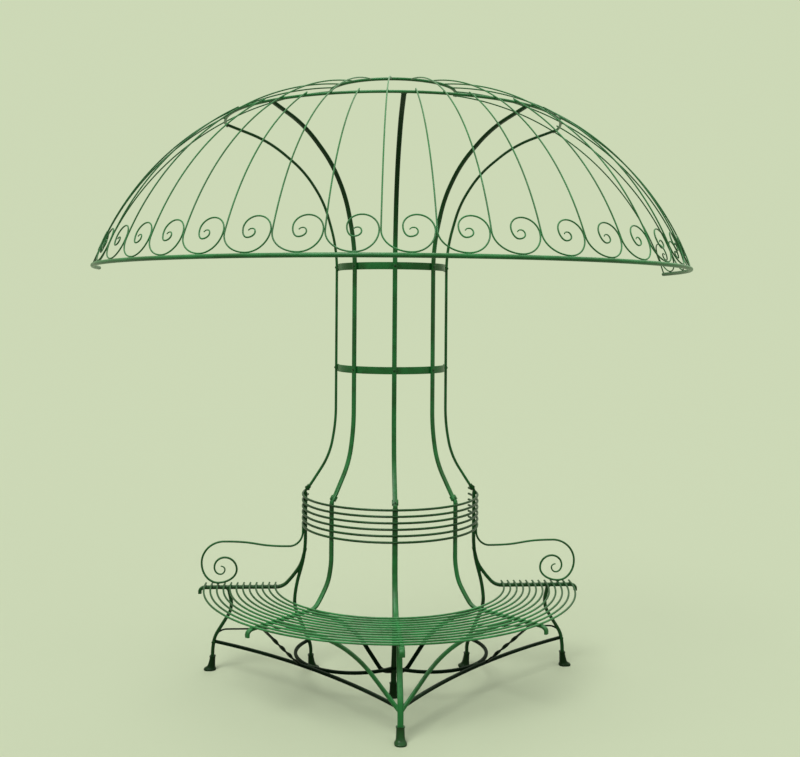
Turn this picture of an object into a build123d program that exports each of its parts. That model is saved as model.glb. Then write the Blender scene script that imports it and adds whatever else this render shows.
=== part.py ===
from build123d import *

import os
from math import atan2, cos, degrees, hypot, radians, sin, sqrt, tan

# Half-round iron seat with a back and an open half canopy on five posts. All sizes are in mm.
# The vertical axis of the half circle is Z and the floor is z = 0. The front looks towards -Y.
# Angles are measured round Z from the middle of the front, positive towards +X.

# Bars and rods. The legs, their posts and their bearers are of the heavier bar.
bar_width = 24
bar_thickness = 14
leg_bar_width = 28
leg_bar_thickness = 18
bend_share = 0.45
touch_gap = 0.05

# Frames of the half circle: two ends, two middles and the front
end_angle = 90
middle_angle = 43.5

# Seat
seat_height = 460
seat_outer_radius = 990
slat_count = 12
slat_pitch = 34
slat_diameter = 10
slat_overhang = 30
bearer_nose_reach = 28
bearer_nose_drop = 32
bearer_nose_bend_share = 1 / 3
bearer_root_height = 648
bearer_spring_radius = 478
bearer_spring_rise = 120
bearer_heel_radius = 522
bearer_heel_rise = 58
bearer_toe_reach = 41

# Back
post_radius = 458
post_straight_from = 625
post_bend_height = 960
rail_count = 6
rail_pitch = 32
rail_diameter = 12
rail_overhang = 150

# Legs and feet
front_foot_radius = 948
front_leg_top_radius = 866
front_knee_radius = 842
front_knee_height = 332
front_ankle_height = 180
rear_foot_radius = 423
rear_knee_radius = 516
rear_knee_height = 338
rear_hip_radius = 504
rear_hip_height = 450
rear_ankle_height = 155
ankle_set_back = 11
foot_height = 75
foot_neck_width = 38
foot_neck_depth = 28
foot_waist_width = 42
foot_waist_depth = 42
foot_waist_height = 18
foot_base_width = 57
foot_base_depth = 64
foot_corner_share = 0.42
foot_toe = 14
foot_flange_height = 8
foot_bead_height = 6
foot_bead_width = 2
foot_seat_depth = 40

# Stretchers, braces, struts and ties under the seat. Bends are shares of the way out and up.
stretcher_height = 152
stretcher_width = 18
stretcher_thickness = 15
stretcher_touch_radius = 585
brace_depth = 20
brace_thickness = 12
front_brace_radius = 815
front_brace_bends = [(0.39, 0.83)]
rear_brace_radius = 590
rear_brace_bends = [(0.145, 0), (0.44, 0.62), (0.70, 0.88)]
strut_width = 17
strut_thickness = 7
strut_foot_share = 0.555
strut_top_radius = 935
strut_half_turns = 3
strut_twist_from = 0.13
strut_twist_to = 0.70
tie_diameter = 9
tie_height = 216
tie_end_drop = 22
tie_end_reach = 36

# Arms
arm_diameter = 11
arm_slat = 2
arm_root_height = 772
arm_leaving_height = 735
arm_dip_reach = 85
arm_dip_height = 659
arm_top_set_back = 30
arm_top_height = 686

# Column, sleeves and bolts
column_radius = 297
column_foot_height = 1330
column_foot_bends = [(0.22, 0.51)]
column_top_height = 2263
column_flare_bends = [(0.12, 0.38), (0.30, 0.63), (0.62, 0.87)]
post_lean = 40
sleeve_offset = 22
sleeve_length = 24
sleeve_wall = 4
bolt_diameter = 6
bolt_head = 10
bolt_head_height = 3
bolt_clearance = 0.4
band_height = 38
band_thickness = 5
band_heights = {"lower": 1624, "upper": 2163}
band_overhang = 20
post_tip_short = 4

# Canopy: the ribs lie on a dome whose meridian arc passes rim, hoop and crown
rim_radius = 1554
rim_height = 2148
rim_diameter = 20
rim_first_angle = -88.5
rim_last_angle = 95.5
hoop_radius = 901
hoop_height = 2933
hoop_diameter = 14
hoop_overhang = 40
crown_radius = 337
crown_height = 3110
crown_diameter = 16
crown_overhang = 24
scroll_count = 22
rib_diameter = 7
short_rib_past_hoop = 16
scroll_waist_height = 95
scroll_left_share = 0.56

os.makedirs("parts", exist_ok=True)


def profile(radius, height):
    """A point in the vertical plane through the axis and the middle of the front."""
    return Vector(0, -radius, height)


def around(angle, radius, height):
    """A point at an angle round the axis."""
    turn = radians(angle)
    return Vector(radius * sin(turn), -radius * cos(turn), height)


def turned(piece, angle):
    """The piece turned round the axis."""
    return Rot(0, 0, angle) * piece


def mirrored(piece):
    """The piece's mirror image on the other side of the front."""
    return mirror(piece, about=Plane.YZ)


def bent(points):
    """Straight runs joined by the widest tangent arcs that the runs leave room for."""
    radii = []
    for before, corner, after in zip(points, points[1:], points[2:]):
        arriving = corner - before
        leaving = after - corner
        reach = bend_share * min(arriving.length, leaving.length)
        radii.append(reach / tan(radians(arriving.get_angle(leaving)) / 2))
    return FilletPolyline(*points, radius=radii)


def flat_bar(path, across, width, thickness):
    """A bar of rectangular section along a path, its width along the direction across."""
    section = Plane(path @ 0, x_dir=across, z_dir=path % 0) * Rectangle(width, thickness)
    return sweep(section, path=path)


def round_rod(path, diameter):
    """A round rod along a path."""
    section = Plane(path @ 0, z_dir=path % 0) * Circle(diameter / 2)
    return sweep(section, path=path)


def part_ring(radius, height, section, first_angle, last_angle):
    """A section in the profile plane carried round the axis from one angle to another."""
    plane = Plane(profile(radius, height), x_dir=(0, -1, 0), z_dir=(1, 0, 0))
    ring = revolve(plane * section, axis=Axis.Z, revolution_arc=last_angle - first_angle)
    return turned(ring, first_angle)


def overhang_angle(radius, overhang):
    """Half the arc of a ring that passes the end frames by an overhang."""
    return end_angle + degrees(overhang / radius)


def coped(piece, *neighbours):
    """The piece with its ends cut away where they meet its neighbours."""
    for neighbour in neighbours:
        piece = piece - neighbour
    return max(piece.solids(), key=lambda solid: solid.volume)


def half_space(side):
    """A block that fills everything on one side of the axis."""
    size = 4 * rim_radius
    return Pos(*(side * (size - touch_gap) / 2)) * Box(size, size, size)


def tangent_arc(start, direction, end):
    """The arc from start to end that leaves along a direction, or a line where it is straight."""
    if direction.get_angle(end - start) < 0.01:
        return Edge.make_line(start, end)
    return Edge.make_tangent_arc(start, direction, end)


def arc_pair(start, leaving, end, arriving):
    """Two tangent arcs from start to end with the directions given there."""
    span = end - start
    both = leaving + arriving
    bend = 2 * (1 - leaving.dot(arriving))
    along = span.dot(both)
    if bend < 1e-9:
        arm = span.dot(span) / (2 * along)
    else:
        arm = (sqrt(along ** 2 + bend * span.dot(span)) - along) / bend
    first_corner = start + leaving * arm
    last_corner = end - arriving * arm
    joint = (first_corner + last_corner) * 0.5
    through = (last_corner - first_corner).normalized()
    return [tangent_arc(start, leaving, joint), tangent_arc(joint, through, end)]


def flowing(stations):
    """The edges of a smooth line through points, each with its direction."""
    edges = []
    for (start, leaving), (end, arriving) in zip(stations, stations[1:]):
        edges += arc_pair(start, leaving, end, arriving)
    return edges


def height_to_radius(route, height):
    """The radius of a leg's centre line at a height."""
    for (radius_a, height_a), (radius_b, height_b) in zip(route, route[1:]):
        if min(height_a, height_b) <= height <= max(height_a, height_b):
            share = (height - height_a) / (height_b - height_a)
            return radius_a + share * (radius_b - radius_a)


nodes = {}
side_names = {-end_angle: "left", 0: "centre", end_angle: "right"}
half_names = {-middle_angle: "left", middle_angle: "right"}
x_axis = Vector(1, 0, 0)
z_axis = Vector(0, 0, 1)

# Centre lines shared by the posts, bearers and legs
inner_slat_radius = seat_outer_radius - (slat_count - 1) * slat_pitch
bearer_height = seat_height - slat_diameter - bar_thickness / 2
leg_bearer_height = seat_height - slat_diameter - leg_bar_thickness / 2
leg_post_radius = post_radius + (bar_thickness - leg_bar_thickness) / 2
lean = Vector(-sin(radians(post_lean)), cos(radians(post_lean)))
sleeve_radius = post_radius + sleeve_offset * lean.X
sleeve_height = post_bend_height + sleeve_offset * lean.Y
post_top = [(post_radius, post_bend_height), (sleeve_radius, sleeve_height)]
post_shoulder_height = post_bend_height - bend_share * sleeve_offset


def bearer_run(height):
    """The route of a bearer from its spring at the back to its nose, with its level at a height."""
    nose_radius = seat_outer_radius + bearer_nose_reach
    return [
        (bearer_spring_radius, height + bearer_spring_rise),
        (bearer_heel_radius, height + bearer_heel_rise),
        (inner_slat_radius - bearer_toe_reach, height),
        (seat_outer_radius + bearer_nose_reach * bearer_nose_bend_share, height),
        (nose_radius, height - bearer_nose_drop * bearer_nose_bend_share),
        (nose_radius, height - bearer_nose_drop),
    ]


rear_route = [
    (rear_foot_radius, foot_height - foot_seat_depth),
    (rear_foot_radius, foot_height + foot_seat_depth),
    (rear_foot_radius + ankle_set_back, rear_ankle_height),
    (rear_knee_radius, rear_knee_height),
    (rear_hip_radius, rear_hip_height),
    (leg_post_radius, post_straight_from),
    (leg_post_radius, post_shoulder_height),
]
front_route = [
    (front_foot_radius, foot_height - foot_seat_depth),
    (front_foot_radius, foot_height + foot_seat_depth),
    (front_foot_radius - ankle_set_back, front_ankle_height),
    (front_knee_radius, front_knee_height),
    (front_leg_top_radius, leg_bearer_height),
]

# Sleeve and bolt of one post, in the profile plane. The bolt goes through the lower half.
sleeve_plane = Plane(
    profile(sleeve_radius, sleeve_height), x_dir=(1, 0, 0), z_dir=profile(lean.X, lean.Y)
)
bolt_plane = sleeve_plane * Pos(0, 0, -sleeve_length / 4) * Rot(90, 0, 0)
sleeve_depth = bar_thickness + 2 * sleeve_wall
bolt_hole = bolt_plane * Cylinder((bolt_diameter + bolt_clearance) / 2, 2 * sleeve_depth)
sleeve = sleeve_plane * (
    Box(bar_width + 2 * sleeve_wall, sleeve_depth, sleeve_length)
    - Box(bar_width, bar_thickness, sleeve_length)
)
sleeve = sleeve - bolt_hole
bolt_end = Pos(0, 0, sleeve_depth / 2) * extrude(
    RegularPolygon(bolt_head / 2, 6, major_radius=False), bolt_head_height
)
bolt = bolt_plane * (
    Cylinder(bolt_diameter / 2, sleeve_depth) + bolt_end + Rot(180, 0, 0) * bolt_end
)

# Rear posts, middle posts, bearers and front legs, each made once in the profile plane. The heavy
# bar of a rear post is drawn down to the lighter section where it bends into its sleeve.


def profile_bar(route, width, thickness):
    """A bar bent along a route in the profile plane."""
    return flat_bar(bent([profile(*point) for point in route]), x_axis, width, thickness)


tenon_route = [(post_radius, post_bend_height - sleeve_offset)] + post_top
tenon = profile_bar(tenon_route, bar_width, bar_thickness)
rear_post = profile_bar(rear_route, leg_bar_width, leg_bar_thickness) + tenon - bolt_hole
middle_root = (post_radius, bearer_root_height)
middle_route = post_top[::-1] + [middle_root] + bearer_run(bearer_height)
middle_post = profile_bar(middle_route, bar_width, bar_thickness) - bolt_hole
bearer_root = (height_to_radius(rear_route, bearer_root_height), bearer_root_height)
bearer_route = [bearer_root] + bearer_run(leg_bearer_height)
bearer = coped(profile_bar(bearer_route, leg_bar_width, leg_bar_thickness), rear_post)
front_leg = coped(profile_bar(front_route, leg_bar_width, leg_bar_thickness), bearer)

for angle, side in side_names.items():
    nodes[f"rear_post_{side}"] = turned(rear_post, angle)
    nodes[f"seat_bearer_{side}"] = turned(bearer, angle)
    nodes[f"front_leg_{side}"] = turned(front_leg, angle)
for angle, side in half_names.items():
    nodes[f"middle_post_{side}"] = turned(middle_post, angle)

# Feet: a forged shoe on each leg with a bead at the top, that widens to a flange at the floor. The
# toes of the front row point outwards and those of the rear row inwards.


def foot_section(width, depth, toe, height):
    """The outline of a foot at a height, set out from the leg by its toe."""
    corner = foot_corner_share * min(width, depth)
    return Pos(0, -toe, height) * RectangleRounded(width, depth, corner)


def shoe(toe):
    """A foot under a leg at the axis, its toe towards the front or, if negative, the rear."""
    neck_height = foot_height - foot_bead_height
    bead = foot_section(
        foot_neck_width + 2 * foot_bead_width, foot_neck_depth + 2 * foot_bead_width, 0, neck_height
    )
    outlines = [
        foot_section(foot_base_width, foot_base_depth, toe, 0),
        foot_section(foot_base_width, foot_base_depth, toe, foot_flange_height),
        foot_section(foot_waist_width, foot_waist_depth, toe / 2, foot_waist_height),
        foot_section(foot_neck_width, foot_neck_depth, 0, neck_height),
    ]
    return loft(outlines, ruled=True) + extrude(bead, foot_bead_height)


front_foot = coped(Pos(*profile(front_foot_radius, 0)) * shoe(foot_toe), front_leg)
rear_foot = coped(Pos(*profile(rear_foot_radius, 0)) * shoe(-foot_toe), rear_post)
nodes["front_feet"] = [turned(front_foot, angle) for angle in side_names]
nodes["rear_feet"] = [turned(rear_foot, angle) for angle in side_names]

# Stretchers: a shallow arc between the front legs and a deep arc between the rear legs
front_reach = height_to_radius(front_route, stretcher_height)
rear_reach = height_to_radius(rear_route, stretcher_height)
stretcher_half = (stretcher_width + touch_gap) / 2


def stretcher_path(reach, touch_radius):
    """An arc from the leg at the front to the leg at the right end, by the touching point."""
    return ThreePointArc(
        around(0, reach, stretcher_height),
        around(end_angle / 2, touch_radius, stretcher_height),
        around(end_angle, reach, stretcher_height),
    )


def stretcher(path, leg):
    """A flat bar along an arc, cut to the legs at its ends."""
    across = z_axis.cross(path % 0)
    raw = flat_bar(path, across, stretcher_width, stretcher_thickness)
    end_plane = turned(half_space(x_axis), end_angle)
    return coped(raw, leg, turned(leg, end_angle), half_space(-x_axis), end_plane)


outer_path = stretcher_path(front_reach, stretcher_touch_radius + stretcher_half)
inner_path = stretcher_path(rear_reach, stretcher_touch_radius - stretcher_half)
outer_stretcher = stretcher(outer_path, front_leg)
inner_stretcher = stretcher(inner_path, rear_post)
for turn, side in ((-end_angle, "left"), (0, "right")):
    nodes[f"outer_stretcher_{side}"] = turned(outer_stretcher, turn)
    nodes[f"inner_stretcher_{side}"] = turned(inner_stretcher, turn)

# Braces: bars on edge that leave the legs of the front frame just under the stretchers and rise
# to the middle bearers
brace_start_height = stretcher_height - (stretcher_thickness + brace_depth) / 2 - touch_gap
brace_end_height = bearer_height - brace_depth / 2


def brace(start_radius, end_radius, bends, *neighbours):
    """A bar from the leg at the front to the middle bearer on the right."""
    start = around(0, start_radius, brace_start_height)
    end = around(middle_angle, end_radius, brace_end_height)
    level = Vector(end.X - start.X, end.Y - start.Y, 0)
    rise = Vector(0, 0, end.Z - start.Z)
    points = [start] + [start + level * run + rise * climb for run, climb in bends] + [end]
    across = z_axis.cross(level).normalized()
    raw = flat_bar(bent(points), across, brace_thickness, brace_depth)
    return coped(raw, *neighbours, turned(middle_post, middle_angle), half_space(-x_axis))


brace_leg_radius = height_to_radius(front_route, brace_start_height)
front_brace = brace(
    brace_leg_radius, front_brace_radius, front_brace_bends, front_leg, outer_stretcher
)
brace_post_radius = height_to_radius(rear_route, brace_start_height)
rear_brace = brace(
    brace_post_radius, rear_brace_radius, rear_brace_bends, rear_post, inner_stretcher
)
nodes["front_brace_right"] = front_brace
nodes["front_brace_left"] = mirrored(front_brace)
nodes["rear_brace_right"] = rear_brace
nodes["rear_brace_left"] = mirrored(rear_brace)

# Twisted struts: a flat bar from the outer stretcher, a little past its middle, to the middle bearer
strut_foot = outer_path @ strut_foot_share
strut_line = around(middle_angle, strut_top_radius, bearer_height) - strut_foot
strut_plane = Plane(strut_foot, x_dir=z_axis.cross(strut_line), z_dir=strut_line)
twist_start = strut_twist_from * strut_line.length
twist_end = strut_twist_to * strut_line.length
strut_section = Rectangle(strut_width, strut_thickness)
strut_twist = Solid.extrude_linear_with_rotation(
    strut_section.face(), (0, 0, 0), (0, 0, twist_end - twist_start), 180 * strut_half_turns
)
strut_below = extrude(strut_section, twist_start)
strut_above = Pos(0, 0, twist_end) * extrude(strut_section, strut_line.length - twist_end)
strut = strut_plane * (strut_below + Pos(0, 0, twist_start) * strut_twist + strut_above)
strut = coped(strut, turned(middle_post, middle_angle), outer_stretcher, inner_stretcher)
nodes["twisted_strut_right"] = strut
nodes["twisted_strut_left"] = mirrored(strut)

# End ties: a rod between the front and the rear leg of each end frame, dipping into both
tie_root_height = tie_height - tie_end_drop
tie_rear = height_to_radius(rear_route, tie_root_height)
tie_front = height_to_radius(front_route, tie_root_height)
tie_path = bent(
    [
        profile(tie_rear, tie_root_height),
        profile(tie_rear + tie_end_reach, tie_height),
        profile(tie_front - tie_end_reach, tie_height),
        profile(tie_front, tie_root_height),
    ]
)
end_tie = coped(round_rod(tie_path, tie_diameter), rear_post, front_leg)

# Arms: a rod that comes down the end post, leaves it in a dip, rises again and ends in a scroll
# standing on a seat slat
arm_root_radius = post_radius + (bar_thickness + arm_diameter) / 2 + touch_gap
arm_base_radius = seat_outer_radius - arm_slat * slat_pitch
arm_base_height = seat_height + arm_diameter / 2 + touch_gap
arm_scroll = [
    ((88, 107), (0, -1)),
    ((0, 0), (-1, 0)),
    ((-99, 70), (0, 1)),
    ((-35, 135), (1, 0)),
    ((20, 83), (0, -1)),
    ((-12, 45), (-1, 0)),
    ((-36, 70), (0, 1)),
    ((-14, 88), (1, 0)),
]
arm_stations = [
    (profile(arm_root_radius, arm_root_height), profile(0, -1)),
    (profile(arm_root_radius, arm_leaving_height), profile(0, -1)),
    (profile(post_radius + arm_dip_reach, arm_dip_height), profile(1, 0)),
    (profile(arm_base_radius - arm_top_set_back, arm_top_height), profile(1, 0)),
] + [
    (profile(arm_base_radius + out, arm_base_height + up), profile(*direction))
    for (out, up), direction in arm_scroll
]
arm = coped(round_rod(Wire(flowing(arm_stations)), arm_diameter), rear_post)
for angle in (-end_angle, end_angle):
    nodes[f"end_tie_{side_names[angle]}"] = turned(end_tie, angle)
    nodes[f"arm_{side_names[angle]}"] = turned(arm, angle)

# Seat slats on the bearers, counted from the outside
for index in range(slat_count):
    radius = seat_outer_radius - index * slat_pitch
    half_arc = overhang_angle(radius, slat_overhang)
    nodes[f"seat_slat_{index + 1:02d}"] = part_ring(
        radius, seat_height - slat_diameter / 2, Circle(slat_diameter / 2), -half_arc, half_arc
    )

# Back rails on the outer faces of the posts, counted from the top
post_corner_radius = hypot(post_radius + bar_thickness / 2, leg_bar_width / 2)
rail_radius = post_corner_radius + rail_diameter / 2 + touch_gap
top_rail_height = post_shoulder_height - rail_diameter / 2
for index in range(rail_count):
    half_arc = overhang_angle(rail_radius, rail_overhang)
    nodes[f"back_rail_{index + 1}"] = part_ring(
        rail_radius,
        top_rail_height - index * rail_pitch,
        Circle(rail_diameter / 2),
        -half_arc,
        half_arc,
    )


def circle_through(first, second, third):
    """The centre and the radius of the circle through three points."""
    (ax, ay), (bx, by), (cx, cy) = first, second, third
    left = 2 * ((ax - cx) * (by - cy) - (bx - cx) * (ay - cy))
    a_term = (ax ** 2 - cx ** 2) + (ay ** 2 - cy ** 2)
    b_term = (bx ** 2 - cx ** 2) + (by ** 2 - cy ** 2)
    x = (a_term * (by - cy) - b_term * (ay - cy)) / left
    y = ((ax - cx) * b_term - (bx - cx) * a_term) / left
    return (x, y), hypot(ax - x, ay - y)


# The meridian of the ribs' centre lines, as an arc with its angles at rim, hoop and crown
rim_point = (rim_radius, rim_height)
hoop_point = (hoop_radius, hoop_height)
crown_point = (crown_radius, crown_height)
(dome_out, dome_up), dome_radius = circle_through(rim_point, hoop_point, crown_point)


def meridian_angle(point):
    """Where a point lies on the meridian arc."""
    return atan2(point[1] - dome_up, point[0] - dome_out)


def on_dome(angle, meridian, inside=0):
    """A point of the dome at an angle round the axis, or so far inside it."""
    reach = dome_radius - inside
    return around(angle, dome_out + reach * cos(meridian), dome_up + reach * sin(meridian))


# Rim, hoop and crown ring. The ribs lie on the hoop from outside.
hoop_meridian = meridian_angle(hoop_point)
hoop_inside = (hoop_diameter + rib_diameter) / 2 + touch_gap
hoop_centre = on_dome(0, hoop_meridian, hoop_inside)
hoop_half_arc = overhang_angle(hoop_radius, hoop_overhang)
rim = part_ring(
    rim_radius, rim_height, Circle(rim_diameter / 2), rim_first_angle, rim_last_angle
)
crown_half_arc = overhang_angle(crown_radius, crown_overhang)
crown = part_ring(
    crown_radius, crown_height, Circle(crown_diameter / 2), -crown_half_arc, crown_half_arc
)
hoop = part_ring(
    -hoop_centre.Y, hoop_centre.Z, Circle(hoop_diameter / 2), -hoop_half_arc, hoop_half_arc
)
nodes["canopy_rim"] = rim
nodes["canopy_hoop"] = hoop
nodes["crown_ring"] = crown


def between(start, end, shares):
    """Points at shares of the way from start to end, separately out and up."""
    return [
        (start[0] + out * (end[0] - start[0]), start[1] + up * (end[1] - start[1]))
        for out, up in shares
    ]


# Column posts: from the sleeve in and up, then out to the hoop, which their ends fit round
column_foot = (column_radius, column_foot_height)
column_top = (column_radius, column_top_height)
sleeve_point = (sleeve_radius, sleeve_height)
post_tip = (-hoop_centre.Y - post_tip_short, hoop_centre.Z)
column_route = (
    [sleeve_point, (sleeve_radius + sleeve_offset * lean.X, sleeve_height + sleeve_offset * lean.Y)]
    + between(column_foot, sleeve_point, column_foot_bends)
    + [column_foot, column_top]
    + between(column_top, post_tip, column_flare_bends)
    + [post_tip]
)
column_post = flat_bar(
    bent([profile(*point) for point in column_route]), x_axis, bar_width, bar_thickness
)
column_post = coped(column_post, hoop)
column_names = {
    -end_angle: "left_end",
    -middle_angle: "left",
    0: "centre",
    middle_angle: "right",
    end_angle: "right_end",
}
for angle, side in column_names.items():
    nodes[f"column_post_{side}"] = turned(column_post, angle)
nodes["post_sleeves"] = [turned(sleeve, angle) for angle in column_names]
nodes["sleeve_bolts"] = [turned(bolt, angle) for angle in column_names]

# Flat bands inside the column posts
band_radius = column_radius - (bar_thickness + band_thickness) / 2 - touch_gap
band_half_arc = overhang_angle(band_radius, band_overhang)
for name, height in band_heights.items():
    nodes[f"column_band_{name}"] = part_ring(
        band_radius, height, Rectangle(band_thickness, band_height), -band_half_arc, band_half_arc
    )

# Ribs: each comes down the dome, turns along the rim and ends in a scroll that touches the
# next rib. A scroll is laid out on the dome: round the axis, and up from the rim.
rim_meridian = meridian_angle(rim_point)
scroll_meridian = rim_meridian + ((rib_diameter + rim_diameter) / 2 + touch_gap) / dome_radius
scroll_radius = dome_out + dome_radius * cos(scroll_meridian)
waist_meridian = scroll_meridian + scroll_waist_height / dome_radius
waist_radius = dome_out + dome_radius * cos(waist_meridian)
rib_edge_angle = degrees(rib_diameter / rim_radius)
rib_pitch = (rim_last_angle - rim_first_angle - 2 * rib_edge_angle) / scroll_count
scroll_room = radians(rib_pitch) * scroll_radius
scroll_room -= (rib_diameter + touch_gap) * scroll_radius / waist_radius
scroll_left = scroll_left_share * scroll_room
scroll_right = scroll_room - scroll_left
scroll_turns = [
    ((0, 0), (1, 0)),
    ((scroll_right, scroll_waist_height), (0, 1)),
    ((24, 164), (-1, 0)),
    ((-35, 112), (0, -1)),
    ((-6, 66), (1, 0)),
    ((26, 88), (0, 1)),
    ((11, 106), (-1, 0)),
    ((-8, 97), (-0.6, -0.8)),
]


def scroll_station(place, direction):
    """A point of the scroll on the dome, with its direction there."""
    run, rise = place
    angle = degrees((run + scroll_left) / scroll_radius)
    meridian = scroll_meridian + rise / dome_radius
    across = around(angle + 90, 1, 0)
    up = around(angle, -sin(meridian), cos(meridian))
    return on_dome(angle, meridian), (across * direction[0] + up * direction[1]).normalized()


def meridian_edge(start, end):
    """The arc down the dome between two places on the meridian at angle 0."""
    middle = (start + end) / 2
    return Edge.make_three_point_arc(on_dome(0, start), on_dome(0, middle), on_dome(0, end))


def scrolled_rib(top_meridian):
    """A rib from a place on the meridian down to its scroll."""
    waist = scroll_station((-scroll_left, scroll_waist_height), (0, -1))
    stations = [waist] + [scroll_station(place, way) for place, way in scroll_turns]
    edges = [meridian_edge(top_meridian, waist_meridian)] + flowing(stations)
    return round_rod(Wire(edges), rib_diameter)


crown_meridian = meridian_angle(crown_point)
long_rib = coped(scrolled_rib(crown_meridian), crown)
short_rib = scrolled_rib(hoop_meridian + short_rib_past_hoop / dome_radius)
end_rib = coped(
    round_rod(Wire([meridian_edge(crown_meridian, rim_meridian)]), rib_diameter),
    crown,
    rim,
)
first_rib_angle = rim_first_angle + rib_edge_angle
rib_angles = [first_rib_angle + index * rib_pitch for index in range(scroll_count)]
nodes["long_ribs"] = [turned(long_rib, angle) for angle in rib_angles[0::2]]
nodes["short_ribs"] = [turned(short_rib, angle) for angle in rib_angles[1::2]]
nodes["end_rib"] = turned(end_rib, rim_last_angle - rib_edge_angle)

for name, piece in nodes.items():
    solids = piece if isinstance(piece, list) else [piece]
    export_step(Compound(children=solids), f"parts/{name}.step")
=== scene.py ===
from math import atan2, cos, pi, radians, sin, tan

import bpy
import bmesh
from mathutils import Euler, Matrix, Vector


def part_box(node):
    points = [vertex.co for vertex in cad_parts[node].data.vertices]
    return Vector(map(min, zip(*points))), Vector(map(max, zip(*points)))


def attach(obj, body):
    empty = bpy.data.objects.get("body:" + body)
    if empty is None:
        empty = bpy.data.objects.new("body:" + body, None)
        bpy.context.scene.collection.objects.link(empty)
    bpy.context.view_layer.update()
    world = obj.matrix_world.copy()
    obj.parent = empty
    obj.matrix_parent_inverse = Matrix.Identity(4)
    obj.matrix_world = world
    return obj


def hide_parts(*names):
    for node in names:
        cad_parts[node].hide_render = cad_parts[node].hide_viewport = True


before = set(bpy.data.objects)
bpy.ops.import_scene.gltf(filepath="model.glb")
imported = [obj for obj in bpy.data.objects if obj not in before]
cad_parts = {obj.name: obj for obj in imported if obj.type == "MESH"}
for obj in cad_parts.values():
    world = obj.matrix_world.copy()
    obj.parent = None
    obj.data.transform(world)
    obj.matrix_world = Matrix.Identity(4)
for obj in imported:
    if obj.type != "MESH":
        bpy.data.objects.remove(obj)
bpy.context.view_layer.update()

# Rear posts. Three heavy iron bars, forged with well rounded edges and bent hot into a soft S, carry
# the back and are drawn down at the top to enter the sleeves of the column. One stands in the front
# frame and one in each end frame. Like all the iron they are brushed with a satin green paint.
BAR_WIDTH = 0.024
BAR_THICKNESS = 0.014
FLAT_BAR = {"Width": BAR_WIDTH, "Thickness": BAR_THICKNESS, "Edge_Radius": 0.0048}
LEG_BAR = {"Width": 0.028, "Thickness": 0.018, "Edge_Radius": 0.0078}
BEND_SHARE = 0.45
END_ANGLE = radians(90)
MIDDLE_ANGLE = radians(43.5)
THREE_FRAMES = {"Count": 3, "First_Angle": -END_ANGLE, "Angle_Step": END_ANGLE}
POST_RADIUS = 0.458
POST_BEND_HEIGHT = 0.960
POST_LEAN = radians(40)
SLEEVE_OFFSET = 0.022
SLEEVE_POINT = (
    POST_RADIUS - SLEEVE_OFFSET * sin(POST_LEAN), POST_BEND_HEIGHT + SLEEVE_OFFSET * cos(POST_LEAN),
)
LEG_POST_RADIUS = POST_RADIUS + (BAR_THICKNESS - LEG_BAR["Thickness"]) / 2
REAR_ROUTE = [
    (0.423, 0.035), (0.423, 0.115), (0.434, 0.155), (0.516, 0.338), (0.504, 0.450),
    (LEG_POST_RADIUS, 0.625), (LEG_POST_RADIUS, POST_BEND_HEIGHT - BEND_SHARE * SLEEVE_OFFSET),
]
POST_TOP = [(POST_RADIUS, POST_BEND_HEIGHT), SLEEVE_POINT]
TENON_ROUTE = [(POST_RADIUS, POST_BEND_HEIGHT - SLEEVE_OFFSET)] + POST_TOP
# In each set of colours the near-black green is painted shade, laid on towards the end frames, low
# under the seat and under the canopy; the palest green is paint paled on top surfaces, partly by the
# sun and partly as painted light from above.
GARDEN_GREEN = {
    "Paint": (0.017, 0.200, 0.042, 1), "Shade": (0.008, 0.098, 0.014, 1),
    "Faded": (0.120, 0.370, 0.145, 1), "Grime": (0.004, 0.028, 0.004, 1),
    "Chip": (0.030, 0.024, 0.018, 1),
}
# Painted shade comes in between these limits: the share of the way to the ends, heights, radii and
# heights.
PAINTED_SHADE_ENDS = (0.45, 0.94)
PAINTED_SHADE_UNDER_SEAT = (0.46, 0.34)
PAINTED_SHADE_INSIDE_LEGS = (0.80, 0.60)
PAINTED_SHADE_UNDER_CANOPY = (2.15, 2.55)
HAMMER_DEPTH = 0.0015
COAT_SHARE = 1.6
COAT_ROUGHNESS = 0.32
BODY_SHARE = 0.35


def place(tree, kind, inputs=None, **settings):
    """The outputs of a new node, with its settings made and its inputs linked or filled in."""
    node = tree.nodes.new(kind)
    for key, value in settings.items():
        setattr(node, key, value)
    for key, value in (inputs or {}).items():
        if isinstance(value, bpy.types.NodeSocket):
            tree.links.new(value, node.inputs[key])
        else:
            node.inputs[key].default_value = value
    return node.outputs


def calc(tree, operation, *values):
    """The result of a sum on sockets and numbers."""
    return place(tree, "ShaderNodeMath", dict(enumerate(values)), operation=operation)[0]


def blend_colours(tree, share, first, second):
    """A mix of two colours by a share."""
    return place(tree, "ShaderNodeMix", {0: share, 6: first, 7: second}, data_type="RGBA")[2]


def smooth_ramp(tree, value, low, high):
    """How far a value is from one limit to the other, softly, from 0 to 1."""
    limits = {0: value, 1: low, 2: high}
    return place(tree, "ShaderNodeMapRange", limits, interpolation_type="SMOOTHSTEP")[0]


def sockets(tree, side, **kinds):
    """Named inputs or outputs of a node group."""
    for label, kind in kinds.items():
        label = label.replace("_", " ")
        tree.interface.new_socket(label, in_out=side, socket_type="NodeSocket" + kind)


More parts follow.
